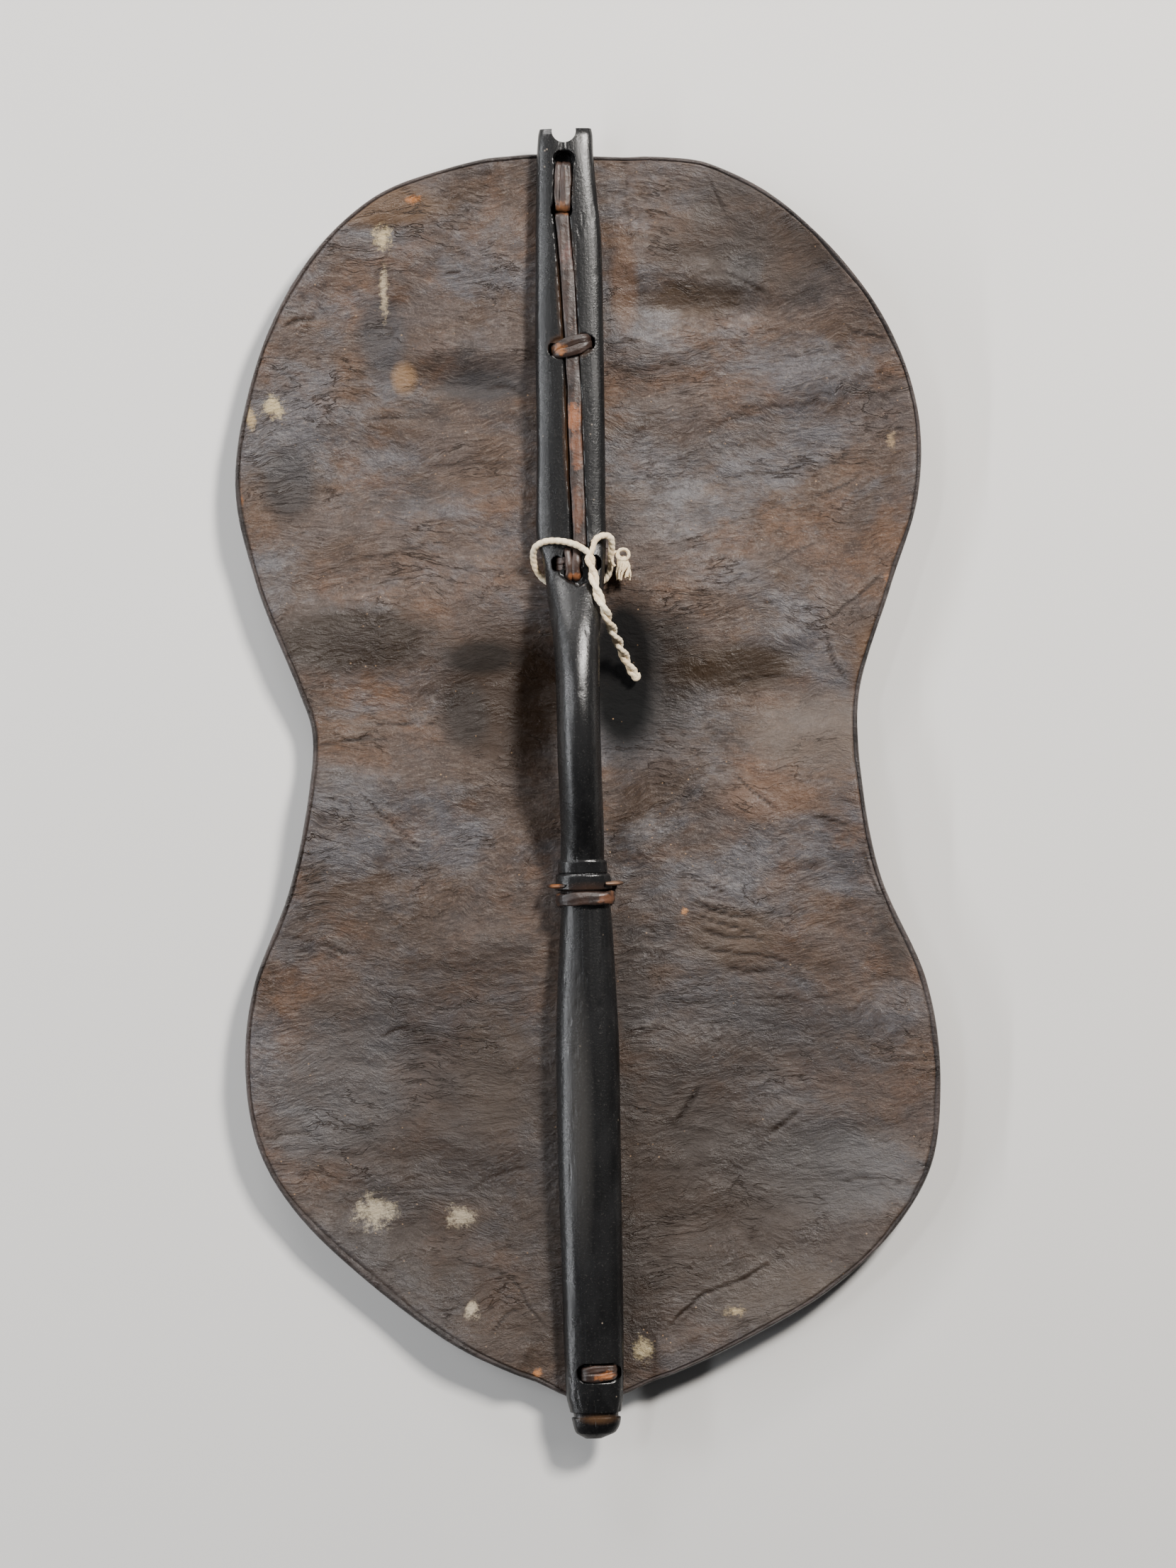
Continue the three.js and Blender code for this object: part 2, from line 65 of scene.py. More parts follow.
def area_light(name, place, size, watts, colour):
    data = bpy.data.lights.new(name, "AREA")
    data.shape = "RECTANGLE"
    data.size, data.size_y = size
    data.energy = watts
    data.color = colour
    light = bpy.data.objects.new(name, data)
    light.location = place
    light.rotation_euler = (-Vector(place)).to_track_quat("-Z", "Y").to_euler()
    bpy.context.scene.collection.objects.link(light)


def set_stage():
    area_light("key", (1.15, 1.34, 1.90), (0.45, 0.45), 140, (1.0, 0.96, 0.91))
    area_light("left_strip", (-1.75, 0.05, 1.00), (2.6, 0.07), 40, (0.95, 0.97, 1.0))
    area_light("left_panel", (-1.15, 0.45, 1.75), (0.80, 0.16), 10, (0.96, 0.98, 1.0))
    area_light("top_low", (-0.75, 2.00, 1.00), (0.9, 0.30), 26, (1.0, 0.98, 0.96))
    world = bpy.data.worlds.new("studio")
    world.use_nodes = True
    world.node_tree.nodes["Background"].inputs["Color"].default_value = (0.92, 0.94, 0.97, 1)
    world.node_tree.nodes["Background"].inputs["Strength"].default_value = 0.06
    bpy.context.scene.world = world
    half = 30.0
    corners = np.array([(-half, -half, 0), (half, -half, 0), (half, half, 0), (-half, half, 0)])
    floor = mesh_object("floor", corners / MM, [(0, 1, 2, 3)])
    floor.location.z = -0.0004
    paint = Paint("floor_paint", roughness=0.9)
    tone = paint.noise(scale=3.0, detail=3)
    paint.base(paint.mix(tone, (0.60, 0.59, 0.575), (0.64, 0.63, 0.615)))
    floor.data.materials.append(paint.material)


# ------------------------------------------------------------------ meshes

def mesh_object(name, points, faces, smooth=True):
    """A mesh from points in millimetres."""
    mesh = bpy.data.meshes.new(name)
    mesh.from_pydata((np.asarray(points) * MM).tolist(), [], [tuple(face) for face in faces])
    mesh.validate()
    if smooth:
        mesh.shade_smooth()
    thing = bpy.data.objects.new(name, mesh)
    bpy.context.scene.collection.objects.link(thing)
    return thing


def grid_faces(rows, columns, start=0, around=False, along=False):
    """Quads of a grid of points laid out row by row; it may close around a row, or along the rows."""
    faces = []
    for row in range(rows if along else rows - 1):
        nxt = (row + 1) % rows
        for column in range(columns if around else columns - 1):
            side = (column + 1) % columns
            faces.append((start + row * columns + column, start + row * columns + side,
                          start + nxt * columns + side, start + nxt * columns + column))
    return faces


def tube(route, profile):
    """Points of a tube: profile(i, count) gives the section's (side, up) points at each step of the route."""
    route = np.asarray(route, float)
    count = len(route)
    ahead = np.gradient(route, axis=0)
    ahead /= np.linalg.norm(ahead, axis=1, keepdims=True)
    points = []
    lift = np.array((0, 0, 1), float)
    for i in range(count):
        lift = lift - ahead[i] * (lift @ ahead[i])
        lift /= np.linalg.norm(lift)
        side = np.cross(ahead[i], lift)
        section = np.asarray(profile(i, count))
        points.append(route[i] + section[:, :1] * side + section[:, 1:] * lift)
    return np.array(points)


def tube_mesh(rings, closed=False):
    """Points and faces of a tube with end caps drawn together in a point, or closed into a ring."""
    count, sides, _ = rings.shape
    points = list(rings.reshape(-1, 3))
    faces = grid_faces(count, sides, around=True, along=closed)
    if not closed:
        for ring, flip in ((0, False), (count - 1, True)):
            points.append(rings[ring].mean(0))
            middle = len(points) - 1
            for k in range(sides):
                a, b = ring * sides + k, ring * sides + (k + 1) % sides
                faces.append((middle, a, b) if flip else (middle, b, a))
    return points, faces


def smooth_route(knots, spacing):
    """An open centripetal Catmull-Rom curve through the knots, as points about spacing apart."""
    knots = np.asarray(knots, float)
    first, last = 2 * knots[0] - knots[1], 2 * knots[-1] - knots[-2]
    padded = np.vstack([first, knots, last])
    fine = []
    for i in range(len(knots) - 1):
        fine.append(curve_piece(*padded[i:i + 4], np.linspace(0, 1, 24, endpoint=False)))
    fine = np.vstack([*fine, knots[-1:]])
    return evenly(fine, spacing)


def evenly(points, spacing=None, count=None):
    """The same line with its points at even steps."""
    run = np.concatenate([[0], np.cumsum(np.linalg.norm(np.diff(points, axis=0), axis=1))])
    if count is None:
        count = max(2, int(round(run[-1] / spacing)) + 1)
    want = np.linspace(0, run[-1], count)
    return np.stack([np.interp(want, run, points[:, k]) for k in range(points.shape[1])], 1)


def curve_piece(p0, p1, p2, p3, t):
    """One stretch, from p1 to p2, of a centripetal Catmull-Rom curve."""
    d0, d1, d2 = (np.linalg.norm(b - a) ** 0.5 for a, b in ((p0, p1), (p1, p2), (p2, p3)))
    m1 = ((p1 - p0) / d0 - (p2 - p0) / (d0 + d1) + (p2 - p1) / d1) * d1
    m2 = ((p2 - p1) / d1 - (p3 - p1) / (d1 + d2) + (p3 - p2) / d2) * d1
    t = np.asarray(t)[:, None]
    return p1 + m1 * t + (3 * (p2 - p1) - 2 * m1 - m2) * t**2 + (2 * (p1 - p2) + m1 + m2) * t**3


# ------------------------------------------------------------------ smooth random fields

def scatter(x, y, seed):
    """Smooth value noise on a lattice one unit wide, from -1 to 1."""
    table = np.random.default_rng(seed).uniform(-1, 1, 4096)
    ix, iy = np.floor(x).astype(np.int64), np.floor(y).astype(np.int64)
    fx, fy = x - ix, y - iy
    fx, fy = fx * fx * (3 - 2 * fx), fy * fy * (3 - 2 * fy)

    def at(dx, dy):
        mixed = (ix + dx) * 374761393 + (iy + dy) * 668265263
        mixed = (mixed ^ (mixed >> 13)) * 1274126177
        return table[(mixed ^ (mixed >> 16)) & 4095]

    low = at(0, 0) * (1 - fx) + at(1, 0) * fx
    high = at(0, 1) * (1 - fx) + at(1, 1) * fx
    return low * (1 - fy) + high * fy


def fractal(x, y, seed, octaves=3):
    """Several layers of scatter, each twice as fine and half as strong as the last."""
    total, weight, size = 0, 0, 1.0
    for k in range(octaves):
        total = total + size * scatter(x * 2**k + 17.3 * k, y * 2**k - 9.1 * k, seed + k)
        weight += size
        size *= 0.5
    return total / weight


def ease(value, low, high):
    """Rises smoothly from 0 at low to 1 at high."""
    t = np.clip((value - low) / (high - low), 0, 1)
    return t * t * (3 - 2 * t)


# ------------------------------------------------------------------ materials

class Paint:
    """One node material on a Principled shader, with short calls for the nodes that it uses."""

    def __init__(self, name, **values):
        self.material = bpy.data.materials.new(name)
        self.material.use_nodes = True
        self.tree = self.material.node_tree
        self.shader = self.tree.nodes["Principled BSDF"]
        self.place = self.tree.nodes.new("ShaderNodeTexCoord").outputs["Object"]
        for key, value in values.items():
            self.shader.inputs[key.replace("_", " ").title()].default_value = value

    def feed(self, socket, value):
        if isinstance(value, bpy.types.NodeSocket):
            self.tree.links.new(value, socket)
        elif isinstance(value, tuple) and len(value) == 3 and socket.type == "RGBA":
            socket.default_value = (*value, 1)
        else:
            socket.default_value = value

    def stretch(self, turn=0.0, scale=(1, 1, 1), move=(0, 0, 0), source=None):
        node = self.tree.nodes.new("ShaderNodeMapping")
        self.feed(node.inputs["Vector"], source or self.place)
        node.inputs["Rotation"].default_value = (0, 0, math.radians(turn))
        node.inputs["Scale"].default_value = scale
        node.inputs["Location"].default_value = move
        return node.outputs["Vector"]

    def noise(self, scale, detail=4, roughness=0.55, distortion=0.0, vector=None):
        node = self.tree.nodes.new("ShaderNodeTexNoise")
        self.feed(node.inputs["Vector"], vector or self.place)
        self.feed(node.inputs["Scale"], scale)
        node.inputs["Detail"].default_value = detail
        node.inputs["Roughness"].default_value = roughness
        node.inputs["Distortion"].default_value = distortion
        return node.outputs["Fac"]

    def cells(self, scale):
        node = self.tree.nodes.new("ShaderNodeTexVoronoi")
        self.feed(node.inputs["Vector"], self.place)
        node.inputs["Scale"].default_value = scale
        return node.outputs["Distance"]

    def ramp(self, value, *stops):
        """A grey ramp from (place, brightness) stops."""
        node = self.tree.nodes.new("ShaderNodeValToRGB")
        elements = node.color_ramp.elements
        while len(elements) < len(stops):
            elements.new(0.5)
        for element, (place, bright) in zip(elements, stops):
            element.position = place
            element.color = (bright, bright, bright, 1)
        self.feed(node.inputs["Fac"], value)
        return node.outputs["Color"]

    def mix(self, share, a, b):
        node = self.tree.nodes.new("ShaderNodeMix")
        node.data_type = "RGBA"
        self.feed(node.inputs[0], share)
        self.feed(node.inputs[6], a)
        self.feed(node.inputs[7], b)
        return node.outputs[2]

    def math(self, a, b, operation="ADD"):
        node = self.tree.nodes.new("ShaderNodeMath")
        node.operation = operation
        self.feed(node.inputs[0], a)
        self.feed(node.inputs[1], b)
        return node.outputs[0]

    def spot(self, middle, size, turn=0.0):
        """1 at a place in millimetres, fading to 0 at the edge of an oval of that size."""
        shift = self.tree.nodes.new("ShaderNodeVectorMath")
        shift.operation = "SUBTRACT"
        self.feed(shift.inputs[0], self.place)
        shift.inputs[1].default_value = (middle[0] * MM, middle[1] * MM, 0)
        oval = self.stretch(turn, tuple(1 / (s * MM) for s in (*size, 1000.0)), source=shift.outputs[0])
        node = self.tree.nodes.new("ShaderNodeTexGradient")
        node.gradient_type = "SPHERICAL"
        self.feed(node.inputs["Vector"], oval)
        return node.outputs["Fac"]

    def warped(self, vector, scale, amount):
        """The vector pushed about by a soft noise."""
        node = self.tree.nodes.new("ShaderNodeTexNoise")
        self.feed(node.inputs["Vector"], vector)
        node.inputs["Scale"].default_value = scale
        node.inputs["Detail"].default_value = 2
        push = self.tree.nodes.new("ShaderNodeVectorMath")
        push.operation = "MULTIPLY_ADD"
        self.feed(push.inputs[0], node.outputs["Color"])
        push.inputs[1].default_value = (amount, amount, amount)
        self.feed(push.inputs[2], vector)
        return push.outputs[0]

    def attribute(self, name):
        node = self.tree.nodes.new("ShaderNodeAttribute")
        node.attribute_name = name
        return node.outputs["Fac"]

    def bump(self, height, distance, strength=1.0, before=None):
        node = self.tree.nodes.new("ShaderNodeBump")
        node.inputs["Strength"].default_value = strength
        node.inputs["Distance"].default_value = distance
        self.feed(node.inputs["Height"], height)
        if before is not None:
            self.feed(node.inputs["Normal"], before)
        return node.outputs["Normal"]

    def base(self, colour):
        self.feed(self.shader.inputs["Base Color"], colour)

    def rough(self, value):
        self.feed(self.shader.inputs["Roughness"], value)

    def normal(self, value):
        self.feed(self.shader.inputs["Normal"], value)


def hide_paint():
    paint = Paint("hide_leather")
    paint.shader.inputs["Specular IOR Level"].default_value = 0.32
    cavity, crease, edge = (paint.attribute(name) for name in ("cavity", "crease", "edge"))
    wander = paint.warped(paint.place, 6, 0.06)
    twist = paint.warped(paint.warped(paint.place, 11, 0.045), 70, 0.006)
    blotch = paint.noise(7, detail=8, roughness=0.62, vector=wander)
    patch = paint.noise(1, detail=8, roughness=0.66, distortion=0.3,
                        vector=paint.stretch(-10, (12, 20, 1), source=wander))
    blue_patch = paint.noise(1, detail=9, roughness=0.7,
                             vector=paint.stretch(-14, (10, 16, 1), (7.7, 2.3, 0), source=wander))
    rust_patch = paint.noise(1, detail=8, roughness=0.68,
                             vector=paint.stretch(12, (14, 20, 1), (3.1, 1.7, 0), source=wander))
    dark_patch = paint.noise(1, detail=8, roughness=0.68,
                             vector=paint.stretch(30, (13, 17, 1), (1.3, 9.7, 0), source=wander))
    lumps = paint.noise(1, detail=7, roughness=0.66, vector=paint.stretch(-10, (55, 95, 1), source=twist))
    fibre = paint.noise(1, detail=5, roughness=0.6, distortion=0.4,
                        vector=paint.stretch(-10, (130, 520, 1), source=twist))
    crack = paint.noise(1, detail=5, roughness=0.6, distortion=0.4,
                        vector=paint.stretch(-11, (20, 80, 1), (4.0, 1.0, 0), source=twist))
    grain = paint.noise(850, detail=4, roughness=0.66)
    colour = paint.mix(paint.ramp(blotch, (0.36, 0), (0.64, 1)), (0.036, 0.021, 0.013), (0.082, 0.050, 0.033))
    colour = paint.mix(paint.ramp(patch, (0.42, 0), (0.62, 0.85)), colour, (0.068, 0.054, 0.050))
    colour = paint.mix(paint.ramp(rust_patch, (0.50, 0), (0.68, 0.75)), colour, (0.112, 0.054, 0.026))
    colour = paint.mix(paint.ramp(blue_patch, (0.48, 0), (0.60, 0.8)), colour, (0.076, 0.075, 0.082))
    colour = paint.mix(paint.ramp(dark_patch, (0.53, 0), (0.66, 0.75)), colour, (0.020, 0.016, 0.016))
    # Painted shade in the low places of the fine relief and folds, and a painted highlight on their raised
    # places.
    colour = paint.mix(paint.ramp(cavity, (0.52, 0), (1.0, 0.65)), colour, (0.022, 0.012, 0.007))
    colour = paint.mix(paint.ramp(cavity, (0.0, 0.35), (0.40, 0)), colour, (0.140, 0.115, 0.100))
    colour = paint.mix(paint.ramp(fibre, (0.34, 0.45), (0.50, 0)), colour, (0.020, 0.013, 0.010))
    colour = paint.mix(paint.ramp(fibre, (0.54, 0), (0.72, 0.40)), colour, (0.170, 0.140, 0.120))
    colour = paint.mix(paint.ramp(grain, (0.32, 0.5), (0.48, 0)), colour, (0.018, 0.012, 0.009))
    colour = paint.mix(paint.ramp(grain, (0.56, 0), (0.76, 0.45)), colour, (0.210, 0.175, 0.150))
    # Near-black marks are painted shade in the hand hollow; their mask also makes the hide matt there.
    matt_black_shade = 0.0
    # Stains, and patches of painted shade and painted light, laid over the colour.
    for middle, size, turn, share, tone in STAINS_AND_PAINTED_LIGHT:
        stain_and_painted_light = paint.math(paint.spot(middle, size, turn), paint.math(patch, 0.9), "MULTIPLY")
        mask = paint.ramp(stain_and_painted_light, (0.20, 0), (0.72, share))
        colour = paint.mix(mask, colour, tone)
        if max(tone) < BLACK_SHADE_TONE:
            matt_black_shade = paint.math(mask, matt_black_shade, "MAXIMUM")
    lines = paint.math(paint.ramp(crack, (0.474, 0), (0.490, 1), (0.506, 0)),
                      paint.ramp(dark_patch, (0.40, 0.9), (0.50, 0)), "MULTIPLY")
    colour = paint.mix(lines, colour, (0.018, 0.010, 0.006))
    for middle, size, turn, tone in DUSTINGS:
        place = paint.math(paint.spot(middle, size, turn), 0.42, "MULTIPLY")
        dust = paint.math(place, paint.noise(170, 9, 0.86))
        colour = paint.mix(paint.ramp(dust, (0.72, 0), (0.86, 0.75)), colour, tone)
    motes = paint.math(paint.ramp(paint.cells(150), (0.04, 0.6), (0.09, 0)),
                      paint.ramp(paint.noise(30, detail=3), (0.50, 0), (0.60, 1)), "MULTIPLY")
    colour = paint.mix(motes, colour, (0.42, 0.26, 0.14))
    # Painted shade in the creases of the folds and in the crease along the rim.
    colour = paint.mix(paint.ramp(crease, (0.25, 0), (0.9, 0.85)), colour, (0.016, 0.009, 0.006))
    edge_tone = paint.mix(paint.ramp(patch, (0.4, 0), (0.62, 1)),
                          (0.014, 0.011, 0.010), (0.050, 0.038, 0.035))
    colour = paint.mix(paint.ramp(edge, (0.3, 0), (0.9, 1)), colour, edge_tone)
    outer = paint.mix(paint.ramp(patch, (0.4, 0), (0.66, 1)), (0.016, 0.010, 0.008), (0.056, 0.036, 0.026))
    outer = paint.mix(paint.ramp(grain, (0.60, 0), (0.74, 0.5)), outer, (0.11, 0.09, 0.075))
    colour = paint.mix(paint.math(edge, -0.3, "LESS_THAN"), colour, outer)
    paint.base(colour)
    gloss = paint.math(paint.math(blue_patch, paint.math(lumps, 0.6, "MULTIPLY")),
                       paint.math(grain, 0.3, "MULTIPLY"))
    rough = paint.ramp(gloss, (0.80, 0.68), (1.08, 0.27))
    # Matt where the near-black painted shade lies.
    paint.rough(paint.mix(matt_black_shade, rough, (0.95, 0.95, 0.95)))
    fine = paint.bump(lumps, 0.0036, 0.75)
    fine = paint.bump(fibre, 0.0007, 0.7, fine)
    fine = paint.bump(lines, -0.0006, 1.0, fine)
    paint.normal(paint.bump(grain, 0.0003, 0.8, fine))
    return paint.material


# Stains of the flesh side, and painted shade and painted light: middle, size, turn, strength, colour.
STAINS_AND_PAINTED_LIGHT = [
    ((-176, 186), (24, 34), 10, 0.8, (0.022, 0.019, 0.019)),
    # Next two entries: painted shade on the dark sides of a fold and of a crest.
    ((-118, 275), (20, 42), -40, 0.7, (0.034, 0.033, 0.036)),
    ((-60, 243), (40, 13), 0, 0.7, (0.030, 0.028, 0.029)),
    # Next five lines: a painted shadow of the grip, and painted shade in the hand hollow, near-black beside
    # the grip.
    ((-46, 54), (64, 66), 14, 0.95, (0.022, 0.011, 0.005)),
    ((-62, 78), (34, 15), 38, 0.75, (0.0052, 0.0040, 0.003)),
    ((-72, 44), (20, 30), 0, 0.7, (0.016, 0.012, 0.010)), ((44, 66), (42, 62), 0, 0.8, (0.016, 0.011, 0.008)),
    ((24, 66), (32, 72), 0, 1.0, (0.0030, 0.0025, 0.0025)),
    ((24, 44), (24, 26), 0, 1.0, (0.002, 0.002, 0.002)),
    # Next three entries: painted shade, the lower lobe darker towards the bottom.
    ((90, -280), (170, 110), 0, 0.55, (0.042, 0.031, 0.025)),
    ((112, -190), (110, 80), 0, 0.55, (0.034, 0.028, 0.026)),
    ((-112, -190), (100, 90), 0, 0.45, (0.040, 0.030, 0.026)),
    # Next entry: painted shade on the upper slope of the left waist hollow.
    ((-138, 90), (76, 30), 8, 0.95, (0.020, 0.012, 0.007)),
    ((72, 292), (44, 14), 0, 0.7, (0.050, 0.031, 0.018)),
    ((104, 310), (16, 16), 0, 0.6, (0.040, 0.042, 0.046)),
    # Next entry: painted shade on the upper slope of the right waist hollow.
    ((94, 68), (56, 22), 12, 0.85, (0.034, 0.021, 0.012)),
    ((110, -12), (40, 18), -30, 0.5, (0.100, 0.048, 0.022)),
    ((30, 300), (12, 40), 0, 0.5, (0.110, 0.056, 0.028)),
    ((86, -96), (40, 26), -10, 0.5, (0.085, 0.058, 0.038)),
    # Next entry: a painted shadow of the lower stave, falling to its right.
    ((26, -120), (16, 60), 0, 0.5, (0.030, 0.027, 0.027)),
    ((-105, 249), (11, 14), 0, 0.5, (0.26, 0.15, 0.07)),
    ((-118, 352), (60, 18), 20, 0.6, (0.110, 0.062, 0.030)),
    ((150, -240), (80, 40), 10, 0.4, (0.090, 0.088, 0.088)),
    ((-150, -180), (60, 70), 0, 0.4, (0.084, 0.083, 0.086)),
    ((-60, -172), (30, 60), 0, 0.5, (0.080, 0.052, 0.032)),
    ((110, -312), (70, 30), 24, 0.4, (0.105, 0.082, 0.064)),
    # Next entry: a painted light patch on the lit lower slope of the right waist hollow.
    ((140, 28), (60, 34), -14, 0.42, (0.125, 0.104, 0.090)),
    # Next entry: painted shade inside the raised upper right rim.
    ((112, 330), (90, 60), -30, 0.6, (0.026, 0.018, 0.013)),
    # Next two entries: painted shade, the lower half darker towards the bottom.
    ((-20, -262), (240, 140), 0, 0.62, (0.024, 0.017, 0.013)),
    ((0, -130), (230, 90), 0, 0.40, (0.026, 0.021, 0.019)),
    ((176, 60), (20, 50), 0, 0.6, (0.085, 0.045, 0.022)),
    ((186, -90), (18, 44), 20, 0.6, (0.028, 0.024, 0.022)),
]

# A mark with no colour as bright as this is near-black painted shade, made matt.
BLACK_SHADE_TONE = 0.006

# Pale earth and rust caught on the flesh side: middle, size, turn, colour.
DUSTINGS = [
    ((-116, 334), (13, 17), 20, (0.46, 0.36, 0.20)), ((-140, 350), (16, 7), 36, (0.36, 0.26, 0.13)),
    ((-116, 300), (6, 34), -25, (0.40, 0.32, 0.21)), ((-184, 232), (16, 15), 0, (0.50, 0.40, 0.22)),
    ((-198, 226), (7, 18), 10, (0.36, 0.26, 0.13)), ((-134, -258), (28, 22), 40, (0.38, 0.32, 0.22)),
    ((-82, -262), (20, 16), 20, (0.36, 0.30, 0.21)), ((-77, -318), (11, 13), 0, (0.42, 0.35, 0.25)),
    ((27, -344), (13, 18), 0, (0.40, 0.32, 0.18)), ((84, -322), (16, 7), 24, (0.38, 0.29, 0.16)),
    ((-38, -358), (7, 12), 20, (0.40, 0.16, 0.05)), ((-96, 356), (10, 6), 20, (0.34, 0.13, 0.04)),
    ((190, 204), (7, 12), 0, (0.30, 0.21, 0.12)), ((-206, 174), (6, 20), 0, (0.22, 0.09, 0.03)),
    ((186, 112), (6, 22), -24, (0.24, 0.11, 0.05)), ((58, -79), (5, 5), 0, (0.42, 0.20, 0.08)),
]


def wood_paint():
    paint = Paint("black_wood")
    paint.shader.inputs["Specular IOR Level"].default_value = 0.5
    grain = paint.noise(1.0, detail=6, roughness=0.62, vector=paint.stretch(0, (330, 24, 330)))
    speck = paint.noise(700, detail=4, roughness=0.72)
    wear = paint.noise(1, detail=7, roughness=0.66, vector=paint.stretch(0, (52, 22, 52)))
    colour = paint.mix(paint.ramp(wear, (0.40, 0), (0.66, 1)),
                       (0.0026, 0.0026, 0.0029), (0.013, 0.013, 0.0135))
    colour = paint.mix(paint.ramp(speck, (0.58, 0), (0.74, 0.5)), colour, (0.075, 0.070, 0.066))
    motes = paint.math(paint.ramp(paint.cells(130), (0.04, 1), (0.08, 0)),
                      paint.ramp(paint.noise(30, detail=2), (0.50, 0), (0.58, 0.8)), "MULTIPLY")
    colour = paint.mix(motes, colour, (0.22, 0.18, 0.14))
    for middle, size, share, tone in WOOD_MARKS:
        mark = paint.math(paint.spot(middle, size), paint.math(speck, 0.6), "MULTIPLY")
        colour = paint.mix(paint.ramp(mark, (0.25, 0), (0.85, share)), colour, tone)
    paint.base(colour)
    paint.rough(paint.ramp(paint.math(wear, paint.math(speck, 0.4, "MULTIPLY")), (0.50, 0.36), (0.86, 0.20)))
    fine = paint.bump(grain, 0.0003, 0.5)
    paint.normal(paint.bump(speck, 0.00022, 0.7, fine))
    return paint.material


# Worn and rusty places on the wood, and a painted sheen on the lower stave's left side: middle, size,
# strength, colour.
WOOD_MARKS = [
    ((-5, 300), (9, 60), 0.7, (0.070, 0.036, 0.018)), ((-3, 210), (9, 70), 0.7, (0.080, 0.036, 0.014)),
    ((-3, 264), (20, 12), 0.6, (0.090, 0.040, 0.016)), ((-5, 362), (9, 22), 0.5, (0.050, 0.024, 0.012)),
    ((0, -64), (22, 7), 0.5, (0.040, 0.020, 0.012)), ((-1, -384), (18, 5), 0.7, (0.080, 0.042, 0.020)),
    # The first entry of the next line is painted sheen: the lower stave's left side lit grey.
    ((-8, -200), (12, 130), 0.5, (0.050, 0.047, 0.044)), ((0, -356), (15, 8), 0.5, (0.060, 0.026, 0.012)),
]


def thong_paint():
    paint = Paint("thong_leather")
    along = paint.noise(260, detail=6, roughness=0.66)
    wear = paint.noise(55, detail=6, roughness=0.62)
    colour = paint.mix(paint.ramp(wear, (0.38, 0), (0.66, 1)), (0.010, 0.006, 0.005), (0.040, 0.022, 0.016))
    colour = paint.mix(paint.ramp(along, (0.60, 0), (0.74, 0.5)), colour, (0.095, 0.055, 0.035))
    for middle, size, turn, tone in THONG_RUST:
        place = paint.math(paint.spot(middle, size, turn), 0.5, "MULTIPLY")
        rust = paint.math(place, paint.noise(190, 5, 0.7))
        colour = paint.mix(paint.ramp(rust, (0.66, 0), (0.86, 0.9)), colour, tone)
    paint.base(colour)
    paint.rough(paint.ramp(along, (0.36, 0.50), (0.66, 0.28)))
    paint.normal(paint.bump(along, 0.0005, 0.9))
    return paint.material


# Where rust and old grease show on the thongs: middle, size, turn, colour.
THONG_RUST = [
    ((-2, 221), (8, 17), 0, (0.19, 0.068, 0.026)), ((-1, 202), (7, 24), 0, (0.11, 0.044, 0.022)),
    ((-1, 166), (6, 26), 0, (0.075, 0.034, 0.020)), ((-6, 347), (7, 6), 0, (0.16, 0.065, 0.024)),
    ((-3, 124), (8, 6), 0, (0.20, 0.076, 0.030)), ((-20, -61), (7, 9), 0, (0.22, 0.085, 0.030)),
    ((16, -61), (8, 9), 0, (0.20, 0.115, 0.070)), ((-10, 262), (8, 6), 0, (0.20, 0.080, 0.028)),
    ((12, -69), (9, 6), 0, (0.11, 0.048, 0.026)), ((3, -358), (9, 5), 0, (0.26, 0.095, 0.032)),
    ((-4, 320), (7, 12), 0, (0.070, 0.036, 0.030)),
]


def string_paint():
    paint = Paint("cotton_string", roughness=0.85)
    paint.shader.inputs["Specular IOR Level"].default_value = 0.2
    paint.shader.inputs["Sheen Weight"].default_value = 0.15
    fluff = paint.noise(1500, detail=4, roughness=0.7)
    dirt = paint.noise(60, detail=5, roughness=0.6)
    fibre = paint.noise(1, detail=3, vector=paint.stretch(35, (2400, 500, 900)))
    colour = paint.mix(paint.ramp(dirt, (0.38, 0), (0.66, 1)), (0.93, 0.82, 0.62), (0.76, 0.56, 0.32))
    colour = paint.mix(paint.ramp(fibre, (0.30, 0.7), (0.52, 0)), colour, (0.50, 0.34, 0.17))
    paint.base(colour)
    paint.normal(paint.bump(fluff, 0.0003, 0.7, paint.bump(fibre, 0.0004, 0.8)))
    return paint.material


# ------------------------------------------------------------------ the hide's outline and form

HIDE_THICK = 5
HIDE_LEVEL = 14
RIM_CURL = 6
RIM_CURL_REACH = 20
STAVE_MIDDLE = -3
STAVE_HOLD = 36

# Left edge from the foot of the hide to its head, then the right edge back down.
OUTLINE = np.array([
    (-5, -376), (-41, -362), (-86, -340), (-139, -300), (-183, -255), (-204, -216),
    (-210.5, -167), (-204.5, -120), (-181, -60), (-167.5, 0), (-165.5, 35), (-173, 60),
    (-197, 125), (-208.5, 188), (-191.7, 265), (-162, 320), (-121, 358), (-76, 374.5),
    (-30, 382.5),
    (15, 380.5), (72, 377), (85, 373.5), (120, 354.5), (159.5, 315), (192, 267),
    (207, 218), (205.5, 170), (187.5, 115), (167, 50), (167.5, -5), (177.5, -60),
    (204, -125), (211, -182), (204, -237), (180, -276), (142, -310), (87, -341), (38, -362)], float)
HEAD = 18.5        # where the left edge meets the right edge, counted in outline points

